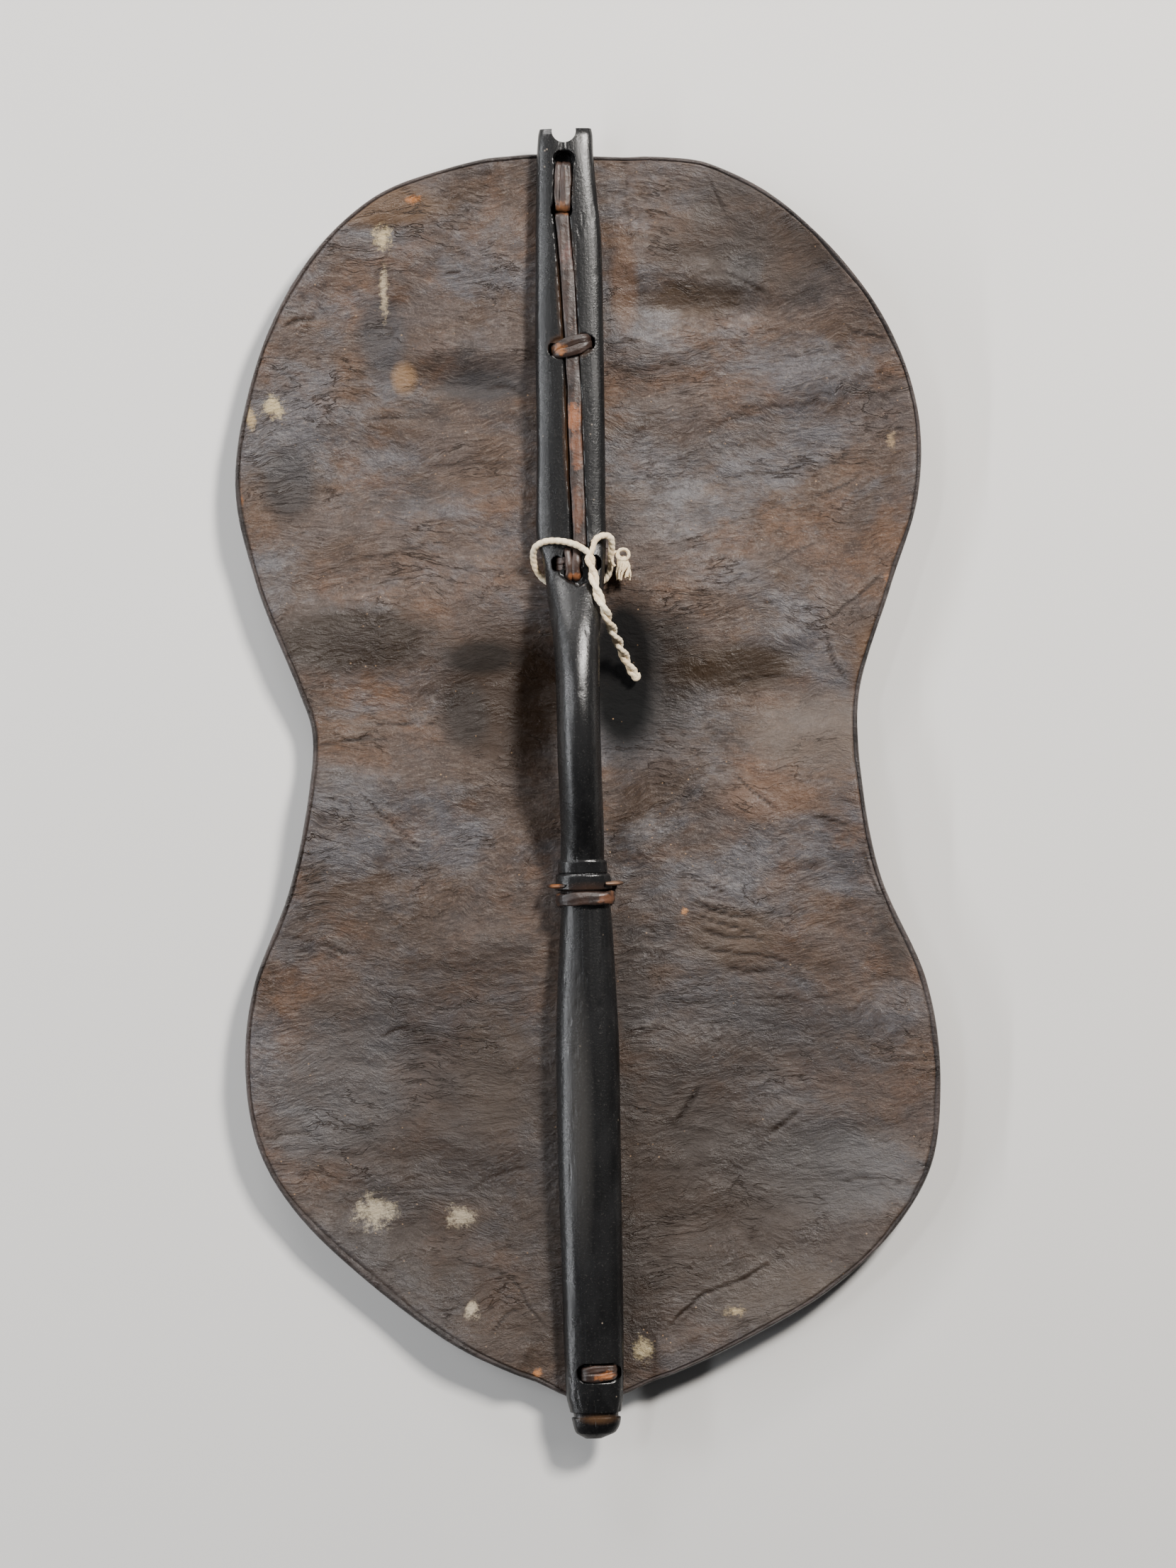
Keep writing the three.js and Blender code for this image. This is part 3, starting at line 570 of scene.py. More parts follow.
# Hollows in the hide: middle, reach in x, reach up and down in y, depth (negative is a swelling).
HOLLOWS = [
    (-4, 52, 56, 42, 78, 15.0),
    (-106, 195, 76, 105, 76, 15.0),
    (104, 195, 76, 100, 76, 15.2),
    (-106, -190, 74, 88, 100, 15.0),
    (108, -190, 74, 88, 100, 15.0),
    (-118, 48, 66, 30, 34, 7.5),
    (116, 48, 66, 30, 34, 8.5),
    (186, 300, 52, 66, 66, -9),
    (168, -12, 40, 22, 26, -4),
    (-172, -10, 44, 22, 26, -3),
]


def rim_curve(places):
    """Points of the closed outline at places counted in outline points."""
    count = len(OUTLINE)
    points = []
    for place in places:
        i = int(place) % count
        around = [OUTLINE[(i + k) % count] for k in (-1, 0, 1, 2)]
        points.append(curve_piece(*around, [place - int(place)])[0])
    return np.array(points)


RIM = rim_curve(np.arange(0, len(OUTLINE), 0.125))


def rim_distance(x, y):
    """Distance from the nearest point of the outline."""
    flat = np.stack([x.ravel(), y.ravel()], 1)
    nearest = np.full(len(flat), 1e9)
    for p in RIM:
        nearest = np.minimum(nearest, (flat[:, 0] - p[0]) ** 2 + (flat[:, 1] - p[1]) ** 2)
    return np.sqrt(nearest).reshape(x.shape)


def hide_underside(x, y):
    """Height of the outer face: its rim curls up, its bellies sink to the floor."""
    z = HIDE_LEVEL + RIM_CURL * np.exp(-((rim_distance(x, y) / RIM_CURL_REACH) ** 2))
    for hx, hy, reach, up, down, depth in HOLLOWS:
        reach_y = np.where(y > hy, up, down)
        z = z - depth * np.exp(-((x - hx) / reach) ** 2 - ((y - hy) / reach_y) ** 2)
    room = HIDE_LEVEL + np.maximum(0, np.abs(x - STAVE_MIDDLE) - STAVE_HOLD) * 0.5
    return np.minimum(np.maximum(z, 0), room)


# Broad swells and dips of the dried hide: middle, turn in degrees, half length, half width, height.
SWELLS = [
    (-58, 264, -3, 42, 10, 2.4), (-56, 243, -3, 40, 9, -2.2), (-78, 212, -12, 62, 13, 2.0),
    (-112, 283, 50, 34, 9, -2.2), (-92, 262, 50, 40, 10, 1.8), (-150, 236, 55, 40, 12, 1.6),
    (-92, 166, 8, 60, 14, 1.8), (-120, 130, 10, 44, 11, -1.4), (-60, 322, 12, 40, 14, 1.2),
    (46, 322, 24, 34, 12, 1.9), (78, 306, -8, 46, 8, 2.0), (70, 286, -4, 50, 9, -2.4),
    (48, 262, 4, 34, 12, 1.8), (30, 240, 6, 22, 9, -1.6), (110, 232, 10, 70, 11, 1.5),
    (90, 190, 12, 70, 12, -1.0), (100, 122, 22, 52, 15, 1.9), (160, 246, 8, 34, 10, 1.3),
    (150, 27, 6, 26, 12, 2.6), (128, 74, 24, 34, 9, -1.6), (-84, 2, 4, 60, 16, 1.7),
    (-34, -34, 0, 18, 13, 2.0), (27, -36, 0, 16, 12, 2.0), (90, -14, -30, 36, 10, 1.4),
    (-112, -54, 18, 50, 14, -1.4), (-60, -96, 10, 44, 16, 1.2), (66, -168, 4, 34, 15, 1.5),
    (186, -146, 8, 30, 14, 1.8), (-88, -216, -10, 52, 15, 1.5), (-140, -130, 0, 44, 18, 1.1),
    (140, -206, 12, 50, 13, 1.2), (104, -262, 14, 60, 13, -1.2), (-120, -262, -24, 44, 12, -1.1),
]

# Folds and creases of the flesh side as it is seen from above: half width, height, then the line.
FOLDS = [
    (1.5, 0.9, (74, 310), (96, 306), (123, 292)), (1.4, 0.7, (83, 367), (93, 341)),
    (1.7, 1.1, (164, 271), (189, 266)), (1.3, 0.7, (114, 253), (140, 259), (171, 264)),
    (1.4, 0.9, (98, 228), (109, 227)), (1.3, 0.6, (64, 213), (119, 227), (151, 232)),
    (1.4, 0.8, (184, 208), (204, 212)), (1.3, 0.7, (83, 185), (126, 187), (177, 195)),
    (1.5, 0.9, (141, 171), (163, 181), (171, 187)), (1.3, 0.6, (48, 142), (90, 156), (140, 176)),
    (1.3, 0.6, (70, 112), (110, 130), (160, 150)), (1.5, 0.8, (143, 92), (172, 115), (186, 130)),
    (1.8, 1.5, (59, -71), (84, -80), (107, -86)), (1.4, 1.0, (70, -62), (85, -70)),
    (1.5, 1.1, (60, -79), (86, -88), (104, -93)), (1.6, 1.3, (64, -90), (95, -96), (112, -98)),
    (1.6, 1.3, (62, -100), (95, -106), (126, -110)), (1.4, 1.0, (80, -113), (114, -117)),
    (1.3, 0.7, (17, -103), (58, -101)), (1.4, 0.9, (94, -131), (125, -133), (160, -130)),
    (1.3, 0.6, (57, -163), (74, -158), (124, -151)), (1.3, 0.7, (167, -174), (206, -171)),
    (2.3, 2.3, (47, -211), (56, -197), (66, -185)), (2.1, 1.9, (106, -218), (116, -208), (128, -200)),
    (1.4, 0.9, (21, -197), (48, -204)), (1.3, 0.8, (45, -211), (84, -213)),
    (1.3, 0.8, (25, -236), (62, -235), (84, -229)), (1.4, 0.9, (148, -248), (166, -243), (186, -242)),
    (1.5, 1.3, (26, -147), (33, -151), (42, -147)),
    (1.6, 0.9, (40, -333), (60, -315), (91, -301), (112, -290)),
    (1.6, 1.6, (-164, -93), (-154, -98), (-145, -102)), (1.3, 0.7, (-186, -85), (-165, -92)),
    (1.5, 1.0, (-130, -152), (-118, -145), (-104, -148)),
    (1.4, 0.9, (-205, -204), (-195, -209), (-167, -206)), (1.4, 0.8, (-86, -251), (-58, -235), (-32, -232)),
    (1.4, 0.8, (-45, -267), (-32, -258)), (1.4, 1.0, (-66, -332), (-56, -322), (-44, -317)),
    (1.3, 0.8, (-55, -294), (-40, -318), (-30, -333)), (1.5, 1.1, (-179, 281), (-168, 286), (-154, 287)),
    (1.5, 1.2, (-104, 366), (-94, 357)), (1.5, 1.0, (-80, 312), (-68, 313)),
    (1.8, 1.3, (-58, 241), (-42, 243), (-30, 239)), (1.3, 0.6, (-139, 225), (-108, 226), (-70, 223)),
    (1.3, 0.6, (-98, 196), (-64, 197), (-32, 198)), (1.3, 0.8, (-147, 138), (-110, 144), (-84, 152)),
    (1.4, 0.9, (-76, 133), (-57, 131), (-41, 133)), (1.7, 1.4, (-166, 28), (-140, 30), (-117, 31)),
    (1.3, 0.8, (-155, 36), (-105, 40), (-60, 37)), (1.6, 1.2, (148, 89), (153, 69), (163, 57)),
    (1.4, 0.9, (82, 57), (104, 62), (132, 64)), (1.6, 1.1, (88, 7), (105, -11), (121, -20)),
    (1.5, 1.0, (133, -22), (160, -28)), (1.4, 0.9, (-141, 3), (-118, -22), (-92, -46)),
    (1.5, 1.0, (166, -40), (172, -62), (184, -84)),
]

HIDE_ROWS = 392
BACK_COLUMNS = 204
FRONT_COLUMNS = 26
# The rounded edge, from the outer face round to the flesh side: distance in from the outline, height.
EDGE_ROUND = [(1.6, 0.0), (0.5, 0.35), (0.0, 1.6), (0.15, 2.9), (0.7, 4.0), (1.6, 4.7), (2.7, 5.0),
              (3.6, 4.9), (4.2, 4.2), (4.7, 3.9), (5.3, 4.5), (6.2, 5.0)]
EDGE_CREASE = 4.6


def turned(x, y, turn):
    a = math.radians(turn)
    return x * math.cos(a) + y * math.sin(a), -x * math.sin(a) + y * math.cos(a)


# The curled-up corner of the rim: middle, reach along and across the rim, its turn, height.
CORNER_CURL = (158, 312, 50, 13, -50, 12)


def swell(x, y):
    """Broad unevenness of the dried hide, in millimetres."""
    z = 1.6 * fractal(x / 75, y / 34, 11, 2) + 1.2 * fractal(x / 40, y / 24, 19, 3)
    for sx, sy, turn, long, wide, height in SWELLS:
        u, v = turned(x - sx, y - sy, turn)
        z = z + 1.7 * height * np.exp(-((u / long) ** 2) - (v / wide) ** 2)
    cx, cy, long, wide, turn, height = CORNER_CURL
    u, v = turned(x - cx, y - cy, turn)
    return z + height * np.exp(-((u / long) ** 2) - (np.maximum(0, 10 - v) / wide) ** 2)


def fold_lines(x, y):
    """Height of the named folds, and how deep in a crease each point lies (0 to 1)."""
    height, crease = np.zeros(x.shape), np.zeros(x.shape)
    for number, (wide, rise, *line) in enumerate(FOLDS):
        knots = smooth_route(line, 3.0)
        near = ((x > knots[:, 0].min() - 12) & (x < knots[:, 0].max() + 12)
                & (y > knots[:, 1].min() - 12) & (y < knots[:, 1].max() + 12))
        px, py = x[near], y[near]
        px = px + 1.3 * scatter(px / 13, py / 13, 200 + number)
        py = py + 1.5 * scatter(px / 11, py / 11, 300 + number)
        best, side, share = np.full(px.shape, 1e9), np.zeros(px.shape), np.zeros(px.shape)
        for i in range(len(knots) - 1):
            (ax, ay), (bx, by) = knots[i], knots[i + 1]
            dx, dy = bx - ax, by - ay
            span = dx * dx + dy * dy
            t = np.clip(((px - ax) * dx + (py - ay) * dy) / span, 0, 1)
            away = np.hypot(px - ax - t * dx, py - ay - t * dy)
            closer = away < best
            best = np.where(closer, away, best)
            side = np.where(closer, (dx * (py - ay) - dy * (px - ax)) / math.sqrt(span), side)
            share = np.where(closer, (i + t) / (len(knots) - 1), share)
        side = np.sign(side) * best
        fade = ease(share, -0.02, 0.22) * (1 - ease(share, 0.72, 1.02))
        lip = np.where(side > 0, np.exp(-side / (1.6 * wide)), 0) * ease(side, 0, 0.6 * wide)
        sink = np.exp(-(((side + 0.35 * wide) / (0.7 * wide)) ** 2))
        height[near] += rise * fade * (1.1 * lip - 0.9 * sink)
        # The crease value darkens the colour of the creases as painted shade.
        crease[near] = np.maximum(crease[near], fade * sink * min(1, rise))
    return height, crease


# Zones of the flesh side with a run of their own for the fibres: middle, reach, turn in degrees.
FIBRE_ZONES = [
    (95, 190, 120, 13), (150, 110, 70, 30), (-90, 230, 90, 8), (-150, 250, 60, 52), (-100, 110, 80, 16),
    (-60, 20, 80, 4), (90, 40, 70, 12), (100, -90, 70, -9), (110, -180, 90, 5), (100, -290, 80, 20),
    (-100, -110, 90, -14), (-120, -220, 90, -22), (-60, -310, 80, 24), (0, -40, 60, 0),
]


def fibre_relief(x, y):
    """Fine wrinkles, flakes and pits, each zone's fibres running their own way."""
    total, weights = np.zeros(x.shape), np.zeros(x.shape)
    bend_x, bend_y = 9 * fractal(x / 48, y / 48, 31, 2), 9 * fractal(x / 48, y / 48, 37, 2)
    for number, (zx, zy, reach, turn) in enumerate(FIBRE_ZONES):
        weight = np.exp(-((x - zx) ** 2 + (y - zy) ** 2) / reach**2) ** 2 + 1e-6
        u, v = turned(x + bend_x, y + bend_y, turn)
        lines = fractal(u / 30, v / 6.5, 400 + 9 * number, 2)
        edges = fractal(u / 24, v / 9.0, 404 + 9 * number, 3)
        strand = -np.exp(-((lines / 0.085) ** 2)) + 0.45 * lines
        step = np.tanh(edges / 0.05) * np.exp(-((edges / 0.16) ** 2))
        total += weight * (0.20 * strand + 0.26 * step)
        weights += weight
    patchy = 0.30 + 0.85 * ease(fractal(x / 42, y / 30, 41, 2), -0.3, 0.35)
    curls = fractal(x / 7.5, y / 6.0, 47, 2)
    curl_patch = ease(fractal(x / 36, y / 36, 49, 2), -0.05, 0.4)
    return total / weights * patchy + 0.28 * curl_patch * np.tanh(curls / 0.1) * np.exp(-((curls / 0.3) ** 2))


def edge_points():
    """Points up the left and the right edge; fewer where the edge runs across the shield."""
    sides = []
    for stop in (0.0, len(OUTLINE) - 1e-9):
        fine = rim_curve(np.linspace(stop, HEAD, 1400))
        step = np.abs(np.diff(fine, axis=0))
        run = np.concatenate([[0], np.cumsum(np.hypot(step[:, 1], 0.5 * step[:, 0]))])
        want = np.linspace(0, run[-1], HIDE_ROWS + 1)
        sides.append(np.stack([np.interp(want, run, fine[:, k]) for k in (0, 1)], 1))
    return sides


def hide_mesh():
    left, right = edge_points()
    # Once round the outline: the foot, up the right side, the head, down the left side.
    around = np.vstack([left[:1], right[1:-1], left[-1:], left[-2:0:-1]])
    ahead = np.roll(around, -1, 0) - np.roll(around, 1, 0)
    inward = np.stack([-ahead[:, 1], ahead[:, 0]], 1)
    inward /= np.linalg.norm(inward, axis=1, keepdims=True)
    run = np.arange(len(around)) * 2 * math.pi / len(around)
    ax, ay = around.T
    widen = (0.58 + 0.16 * fractal(14 * np.cos(run) + 40, 14 * np.sin(run) + 40, 55, 3)
             + 0.5 * np.exp(-(((ax + 130) / 80) ** 2) - ((ay + 290) / 70) ** 2)
             + 0.2 * np.exp(-(((ax - 205) / 40) ** 2) - ((ay + 170) / 90) ** 2))
    rows = HIDE_ROWS - 1

    def ring(distance):
        return around + inward * (distance * np.where(distance > 1, widen, 1))[:, None]

    def sides_of(loop):
        return loop[:1], loop[1:rows + 1], loop[rows + 1:rows + 2], loop[:rows + 1:-1]

    def layer(columns, distance):
        foot, rights, head, lefts = sides_of(ring(np.full(len(around), distance)))
        share = np.linspace(0, 1, columns + 1)
        grid = lefts[:, None] + (rights - lefts)[:, None] * share[None, :, None]
        flat = np.vstack([grid.reshape(-1, 2), foot, head])
        return flat[:, 0], flat[:, 1]

    def floor_of(x, y):
        beside_stave = 1 - np.exp(-(((x - STAVE_MIDDLE) / 27) ** 4))
        return np.maximum(0, hide_underside(x, y) + swell(x, y) * beside_stave)

    bx, by = layer(BACK_COLUMNS, EDGE_ROUND[-1][0])
    fade = ease(rim_distance(bx, by), 4.5, 12)
    folds, crease = fold_lines(bx, by)
    fine = fibre_relief(bx, by) * fade
    relief = fine + folds * (0.3 + 0.7 * fade)
    held = 1 - np.exp(-(((bx - STAVE_MIDDLE) / 23) ** 6))
    relief = np.where(relief > 0, relief * held, relief)
    back = np.stack([bx, by, floor_of(bx, by) + HIDE_THICK + relief], 1)
    fx, fy = layer(FRONT_COLUMNS, EDGE_ROUND[0][0])
    front = np.stack([fx, fy, floor_of(fx, fy)], 1)
    points = np.vstack([back, front])
    # The cavity value carries painted shade and painted highlight into the material.
    cavity = np.concatenate([np.clip(0.5 - 1.1 * fine - 0.8 * folds, 0, 1), np.full(len(front), 0.5)])
    creases = np.concatenate([crease, np.zeros(len(front))])
    edge = np.concatenate([np.zeros(len(back)), np.full(len(front), -1.0)])

    def outline_of(columns, start):
        first = np.arange(rows) * (columns + 1) + start
        tip = start + rows * (columns + 1)
        return [tip, *(first + columns), tip + 1, *first[::-1]]

    faces = grid_faces(rows, BACK_COLUMNS + 1)
    faces += [face[::-1] for face in grid_faces(rows, FRONT_COLUMNS + 1, len(back))]
    for columns, start, turn in ((BACK_COLUMNS, 0, 1), (FRONT_COLUMNS, len(back), -1)):
        foot = start + rows * (columns + 1)
        for k in range(columns):
            last = start + (rows - 1) * (columns + 1) + k
            faces.append((foot, start + k + 1, start + k)[::turn])
            faces.append((foot + 1, last, last + 1)[::turn])
    loops = [outline_of(FRONT_COLUMNS, len(back))]
    for distance, height in EDGE_ROUND[1:-1]:
        flat = ring(np.full(len(around), distance))
        x, y = flat.T
        loops.append(list(range(len(points), len(points) + len(flat))))
        points = np.vstack([points, np.stack([x, y, floor_of(x, y) + height], 1)])
        cavity = np.append(cavity, np.full(len(flat), 0.5))
        # Painted shade for the crease along the rim comes from this value.
        creases = np.append(creases, np.full(len(flat), math.exp(-((distance - EDGE_CREASE) / 0.5) ** 2)))
        edge = np.append(edge, np.full(len(flat), 1.0 if distance < EDGE_CREASE else 0.2))
    loops.append(outline_of(BACK_COLUMNS, 0))
    for low, high in zip(loops, loops[1:]):
        for k in range(len(low)):
            n = (k + 1) % len(low)
            faces.append((low[k], low[n], high[n], high[k]))
    return points, faces, {"cavity": cavity, "crease": creases, "edge": edge}


def add_values(thing, values):
    """Keeps a number at each point of a mesh, for its material."""
    for name, numbers in values.items():
        layer = thing.data.attributes.new(name, "FLOAT", "POINT")
        layer.data.foreach_set("value", np.asarray(numbers, dtype=np.float32))


def make_hide():
    points, faces, values = hide_mesh()
    hide = mesh_object("hide_sheet", points, faces)
    add_values(hide, values)
    hide.data.materials.append(hide_paint())
    finish_piece(hide, "hide", "hide")


def finish_piece(piece, slot, *nodes):
    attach(piece, "root")
    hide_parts(*nodes)


_made = {}


def shared(paint):
    """The material of a paint function, made once for all the pieces that use it."""
    if paint not in _made:
        _made[paint] = paint()
    return _made[paint]


def make_piece(name, slot, node, paint, meshes):
    """One visible piece out of several meshes, each with points and faces of its own."""
    points, faces = [], []
    for more, some in meshes:
        faces += [tuple(len(points) + k for k in face) for face in some]
        points += list(more)
    piece = mesh_object(name, points, faces)
    piece.data.materials.append(shared(paint))
    finish_piece(piece, slot, node)
    return piece


# ------------------------------------------------------------------ the stave

SEAT = HIDE_LEVEL + HIDE_THICK + 0.3

# Stations along the stave: y, middle x, half width, underside z, top z, squareness of the top.
STATIONS = np.array([
    (-396.5, -4.4, 5.0, 24.0, 27.5, 2.0),
    (-392.5, -3.0, 12.4, 21.6, 31.0, 2.1),
    (-387, -2.4, 14.6, 20.4, 33.0, 2.2),
    (-379.5, -2.8, 15.8, SEAT, 34.2, 2.2),
    (-370, -3.1, 17.4, SEAT, 35.0, 2.3),
    (-340, -3.0, 18.3, SEAT, 36.4, 2.3),
    (-290, -2.9, 18.7, SEAT, 38.0, 2.2),
    (-235, -3.1, 19.2, SEAT, 38.8, 2.1),
    (-170, -2.6, 19.4, SEAT, 39.2, 2.1),
    (-120, -2.2, 17.8, SEAT, 39.0, 2.1),
    (-96, -1.8, 16.5, SEAT, 38.6, 2.1),
    (-76, -1.6, 15.2, SEAT, 38.4, 2.2),
    (-64, -2.6, 14.2, SEAT, 39.4, 2.2),
    (-46, -3.1, 13.3, 21.5, 43.0, 2.2),
    (-30, -2.8, 13.2, 26.0, 50.0, 2.1),
    (-8, -3.0, 13.2, 34.0, 59.0, 2.1),
    (15, -3.4, 13.3, 40.0, 65.0, 2.1),
    (40, -3.5, 13.2, 42.0, 67.0, 2.1),
    (62, -3.4, 13.4, 40.4, 65.0, 2.1),
    (90, -3.6, 14.5, 33.5, 57.0, 2.2),
    (112, -3.8, 16.8, 26.0, 46.5, 2.4),
    (126, -3.8, 18.2, 21.8, 39.2, 2.8),
    (138, -4.2, 19.6, 19.9, 35.6, 3.2),
    (146, -5.2, 21.0, SEAT, 34.6, 3.4),
    (156, -5.4, 21.3, SEAT, 34.2, 3.4),
    (205, -4.3, 20.9, SEAT, 34.0, 3.4),
    (266, -3.7, 20.8, SEAT, 34.0, 3.4),
    (328, -2.9, 20.1, SEAT, 34.0, 3.4),
    (359, -3.6, 18.4, SEAT, 33.6, 3.4),
    (380, -3.8, 17.3, SEAT, 32.6, 3.2),
    (392, -3.4, 16.7, 19.8, 31.0, 3.0),
    (396, -3.3, 15.8, 21.4, 29.4, 2.8)])

COLLAR_HEAD, COLLAR_LINE, COLLAR_FOOT = -46.2, -54.8, -64.9
COLLAR_SWELL, COLLAR_RAISE = 3.2, 1.4
NUB_GROOVE_Y, NUB_GROOVE_HALF, NUB_GROOVE_DEPTH = -382, 1.6, 1.7
NOTCH_X, NOTCH_Y, NOTCH_RADIUS, NOTCH_SIDES = -4.3, 394.6, 7.3, 72
SHARP_ANGLE = 48            # degrees at which an edge of the stave shows as sharp
TOP_HOLE, LOW_HOLE = (-4.6, 376.9), (-6.7, 346.5)

GROOVE_LINE = [(-7.0, 344.0), (-6.4, 334), (-5.2, 315), (-3.8, 290), (-2.9, 264),
               (-2.4, 240), (-2.1, 212), (-1.4, 175), (-0.8, 142.2)]
GROOVE_HALF, GROOVE_FLOOR = 5.4, 30.6

STITCH_THICK = 2.6
# Each tie: middle x and y, distance over its legs, turn, top, roundness of its shoulders.
TIES = {
    "thong_top_loop": (-5.65, 361.7, 33.2, 1.502, 34.6, 4.5),
    "thong_middle_knot": (-2.5, 264, 25, 0.16, 37.4, 6),
    "thong_lower_tie": (-2.7, 132.6, 25, 0, 37.9, 6),
    "waist_lashing": (-1.9, -69.6, 36, 0, 42.4, 13),
    "thong_bottom_tie": (-0.2, -356, 22, 0, 36.8, 5),
}


def harmonic(before, after):
    """The slope at a station that makes no bump of its own, from the rise on both sides."""
    same = before * after > 0
    return np.where(same, 2 * before * after / np.where(same, before + after, 1), 0)


def stations_at(y):
    """The stave's station values at each y."""
    rise = np.diff(STATIONS, axis=0) / np.diff(STATIONS[:, 0])[:, None]
    slope = np.vstack([rise[:1], harmonic(rise[:-1], rise[1:]), rise[-1:]])
    k = np.clip(np.searchsorted(STATIONS[:, 0], y, side="right") - 1, 0, len(STATIONS) - 2)
    span = (STATIONS[k + 1, 0] - STATIONS[k, 0])[:, None]
    t = (y[:, None] - STATIONS[k, :1]) / span
    return (STATIONS[k] * (1 + 2 * t) * (1 - t) ** 2 + STATIONS[k + 1] * t * t * (3 - 2 * t)
            + span * (slope[k] * t * (1 - t) ** 2 - slope[k + 1] * t * t * (1 - t)))


def slot_distance(x, y, ax, ay, bx, by, radius):
    """Distance outside a slot with round ends between two points; negative inside."""
    dx, dy = bx - ax, by - ay
    t = np.clip(((x - ax) * dx + (y - ay) * dy) / (dx * dx + dy * dy), 0, 1)
    return np.hypot(x - ax - t * dx, y - ay - t * dy) - radius


def line_distance(x, y, line):
    """Distance from a line of several stretches."""
    nearest = np.full(x.shape, 1e9)
    for (ax, ay), (bx, by) in zip(line, line[1:]):
        nearest = np.minimum(nearest, slot_distance(x, y, ax, ay, bx, by, 0))
    return nearest


def tie_recess(x, y, tie, half, radius):
    """Distance outside the recess that runs under a tie; negative inside."""
    tx, ty, _, turn, _, _ = TIES[tie]
    dx, dy = half * math.cos(turn), half * math.sin(turn)
    return slot_distance(x, y, tx - dx, ty - dy, tx + dx, ty + dy, radius)


# The bulging end of the lower tie, which stands over the end of the groove.
LUMP_FOOT, LUMP_HEAD = (-4.6, 126.5), (-4.9, 137.5)


def bridge_top(tie):
    """Height of the wood that a tie's top runs over."""
    _, _, _, _, top, shoulder = TIES[tie]
    return top - STITCH_THICK - 0.3 - 0.25 * shoulder


def carve(points):
    """Sinks the holes, recesses and the groove into the top of the stave."""
    x, y, z = points.T
    top_x, top_y = TOP_HOLE
    low_x, low_y = LOW_HOLE
    cuts = [
        (slot_distance(x, y, top_x - 1.5, top_y + 0.3, top_x + 1.5, top_y + 0.3, 4.7), 20.2),
        (slot_distance(x, y, low_x - 0.8, low_y, low_x + 0.8, low_y, 5.4), 20.2),
        (slot_distance(x, y, *TOP_HOLE, *LOW_HOLE, 5.5), bridge_top("thong_top_loop")),
        (line_distance(x, y, GROOVE_LINE) - GROOVE_HALF + 0.5, GROOVE_FLOOR),
        (tie_recess(x, y, "thong_middle_knot", 7.4, 6.0), bridge_top("thong_middle_knot")),
        (slot_distance(x, y, *LUMP_FOOT, *LUMP_HEAD, 5.6), 33.0),
        (tie_recess(x, y, "thong_bottom_tie", 7.6, 5.6), bridge_top("thong_bottom_tie")),
    ]
    for tie, radius in (("thong_middle_knot", 2.4), ("thong_lower_tie", 3.2), ("thong_bottom_tie", 3.0)):
        tx, ty, span, turn, _, _ = TIES[tie]
        for side in (-1, 1):
            reach = side * (span / 2 - 1.0)
            hx, hy = tx + reach * math.cos(turn), ty + reach * math.sin(turn)
            cuts.append((slot_distance(x, y, hx, hy - 1, hx, hy + 1, radius), 21.0))
    scoop = np.maximum.reduce([118.5 - y + 0.62 * np.abs(x + 1.5), y - 130, np.abs(x + 1.5) - 12])
    cuts.append((scoop, 36.0))
    top = z.copy()
    for distance, floor in cuts:
        inside = 1 - ease(distance, -0.7, 0.5)
        z = np.minimum(z, top + (np.minimum(top, floor) - top) * inside)
    return np.stack([x, y, z], 1)


STAVE_TOP_SIDES, STAVE_LOW_SIDES = 112, 30


def stave_rings():
    fine = [(-396.4, -378, 0.6), (-378, -366, 1.3), (-366, -346, 0.7), (-346, -76, 1.9), (-76, -43, 0.45),
            (-43, 116, 1.7), (116, 145, 0.7), (145, 252, 1.6), (252, 276, 0.7), (276, 337, 1.6),
            (337, 396, 0.65)]
    y = np.concatenate([np.arange(a, b, step) for a, b, step in fine] + [[396.0]])
    values = stations_at(y)
    _, x, wide, under, top, square = values.T
    in_collar = (ease(-y, -COLLAR_HEAD - 0.3, -COLLAR_HEAD + 1.3)
                 * (1 - ease(-y, -COLLAR_FOOT - 0.9, -COLLAR_FOOT)))
    line = np.exp(-(((y - COLLAR_LINE) / 0.55) ** 2))
    across_ring = (np.mod(-y + COLLAR_HEAD, 9.2) - 4.6) / 4.6
    crowned = np.where(y > COLLAR_LINE, 0.52, 1.0) - 0.10 * np.abs(across_ring) ** 4
    from_groove = np.abs(y - NUB_GROOVE_Y)
    groove = (1 - ease(from_groove, NUB_GROOVE_HALF - 0.5, NUB_GROOVE_HALF + 0.3)) * NUB_GROOVE_DEPTH
    wide = wide + in_collar * (COLLAR_SWELL * crowned - 0.9 * line) - groove
    top = top + in_collar * (COLLAR_RAISE * crowned - 0.9 * line) - groove
    middle = under + 0.42 * (top - under)
    over = np.cos(np.linspace(0, math.pi, STAVE_TOP_SIDES, endpoint=False))[None]
    below = -np.cos(np.linspace(0, math.pi, STAVE_LOW_SIDES, endpoint=False))[None]
    square = square[:, None]
    over_z = middle[:, None] + (top - middle)[:, None] * (1 - np.abs(over) ** square) ** (1 / square)
    below_z = middle[:, None] - (middle - under)[:, None] * (1 - np.abs(below) ** 3) ** (1 / 3)
    px = x[:, None] + wide[:, None] * np.concatenate([over, below], 1)
    pz = np.concatenate([over_z, below_z], 1)
    py = np.repeat(y[:, None], px.shape[1], 1)
    return np.stack([px, py, pz], 2)


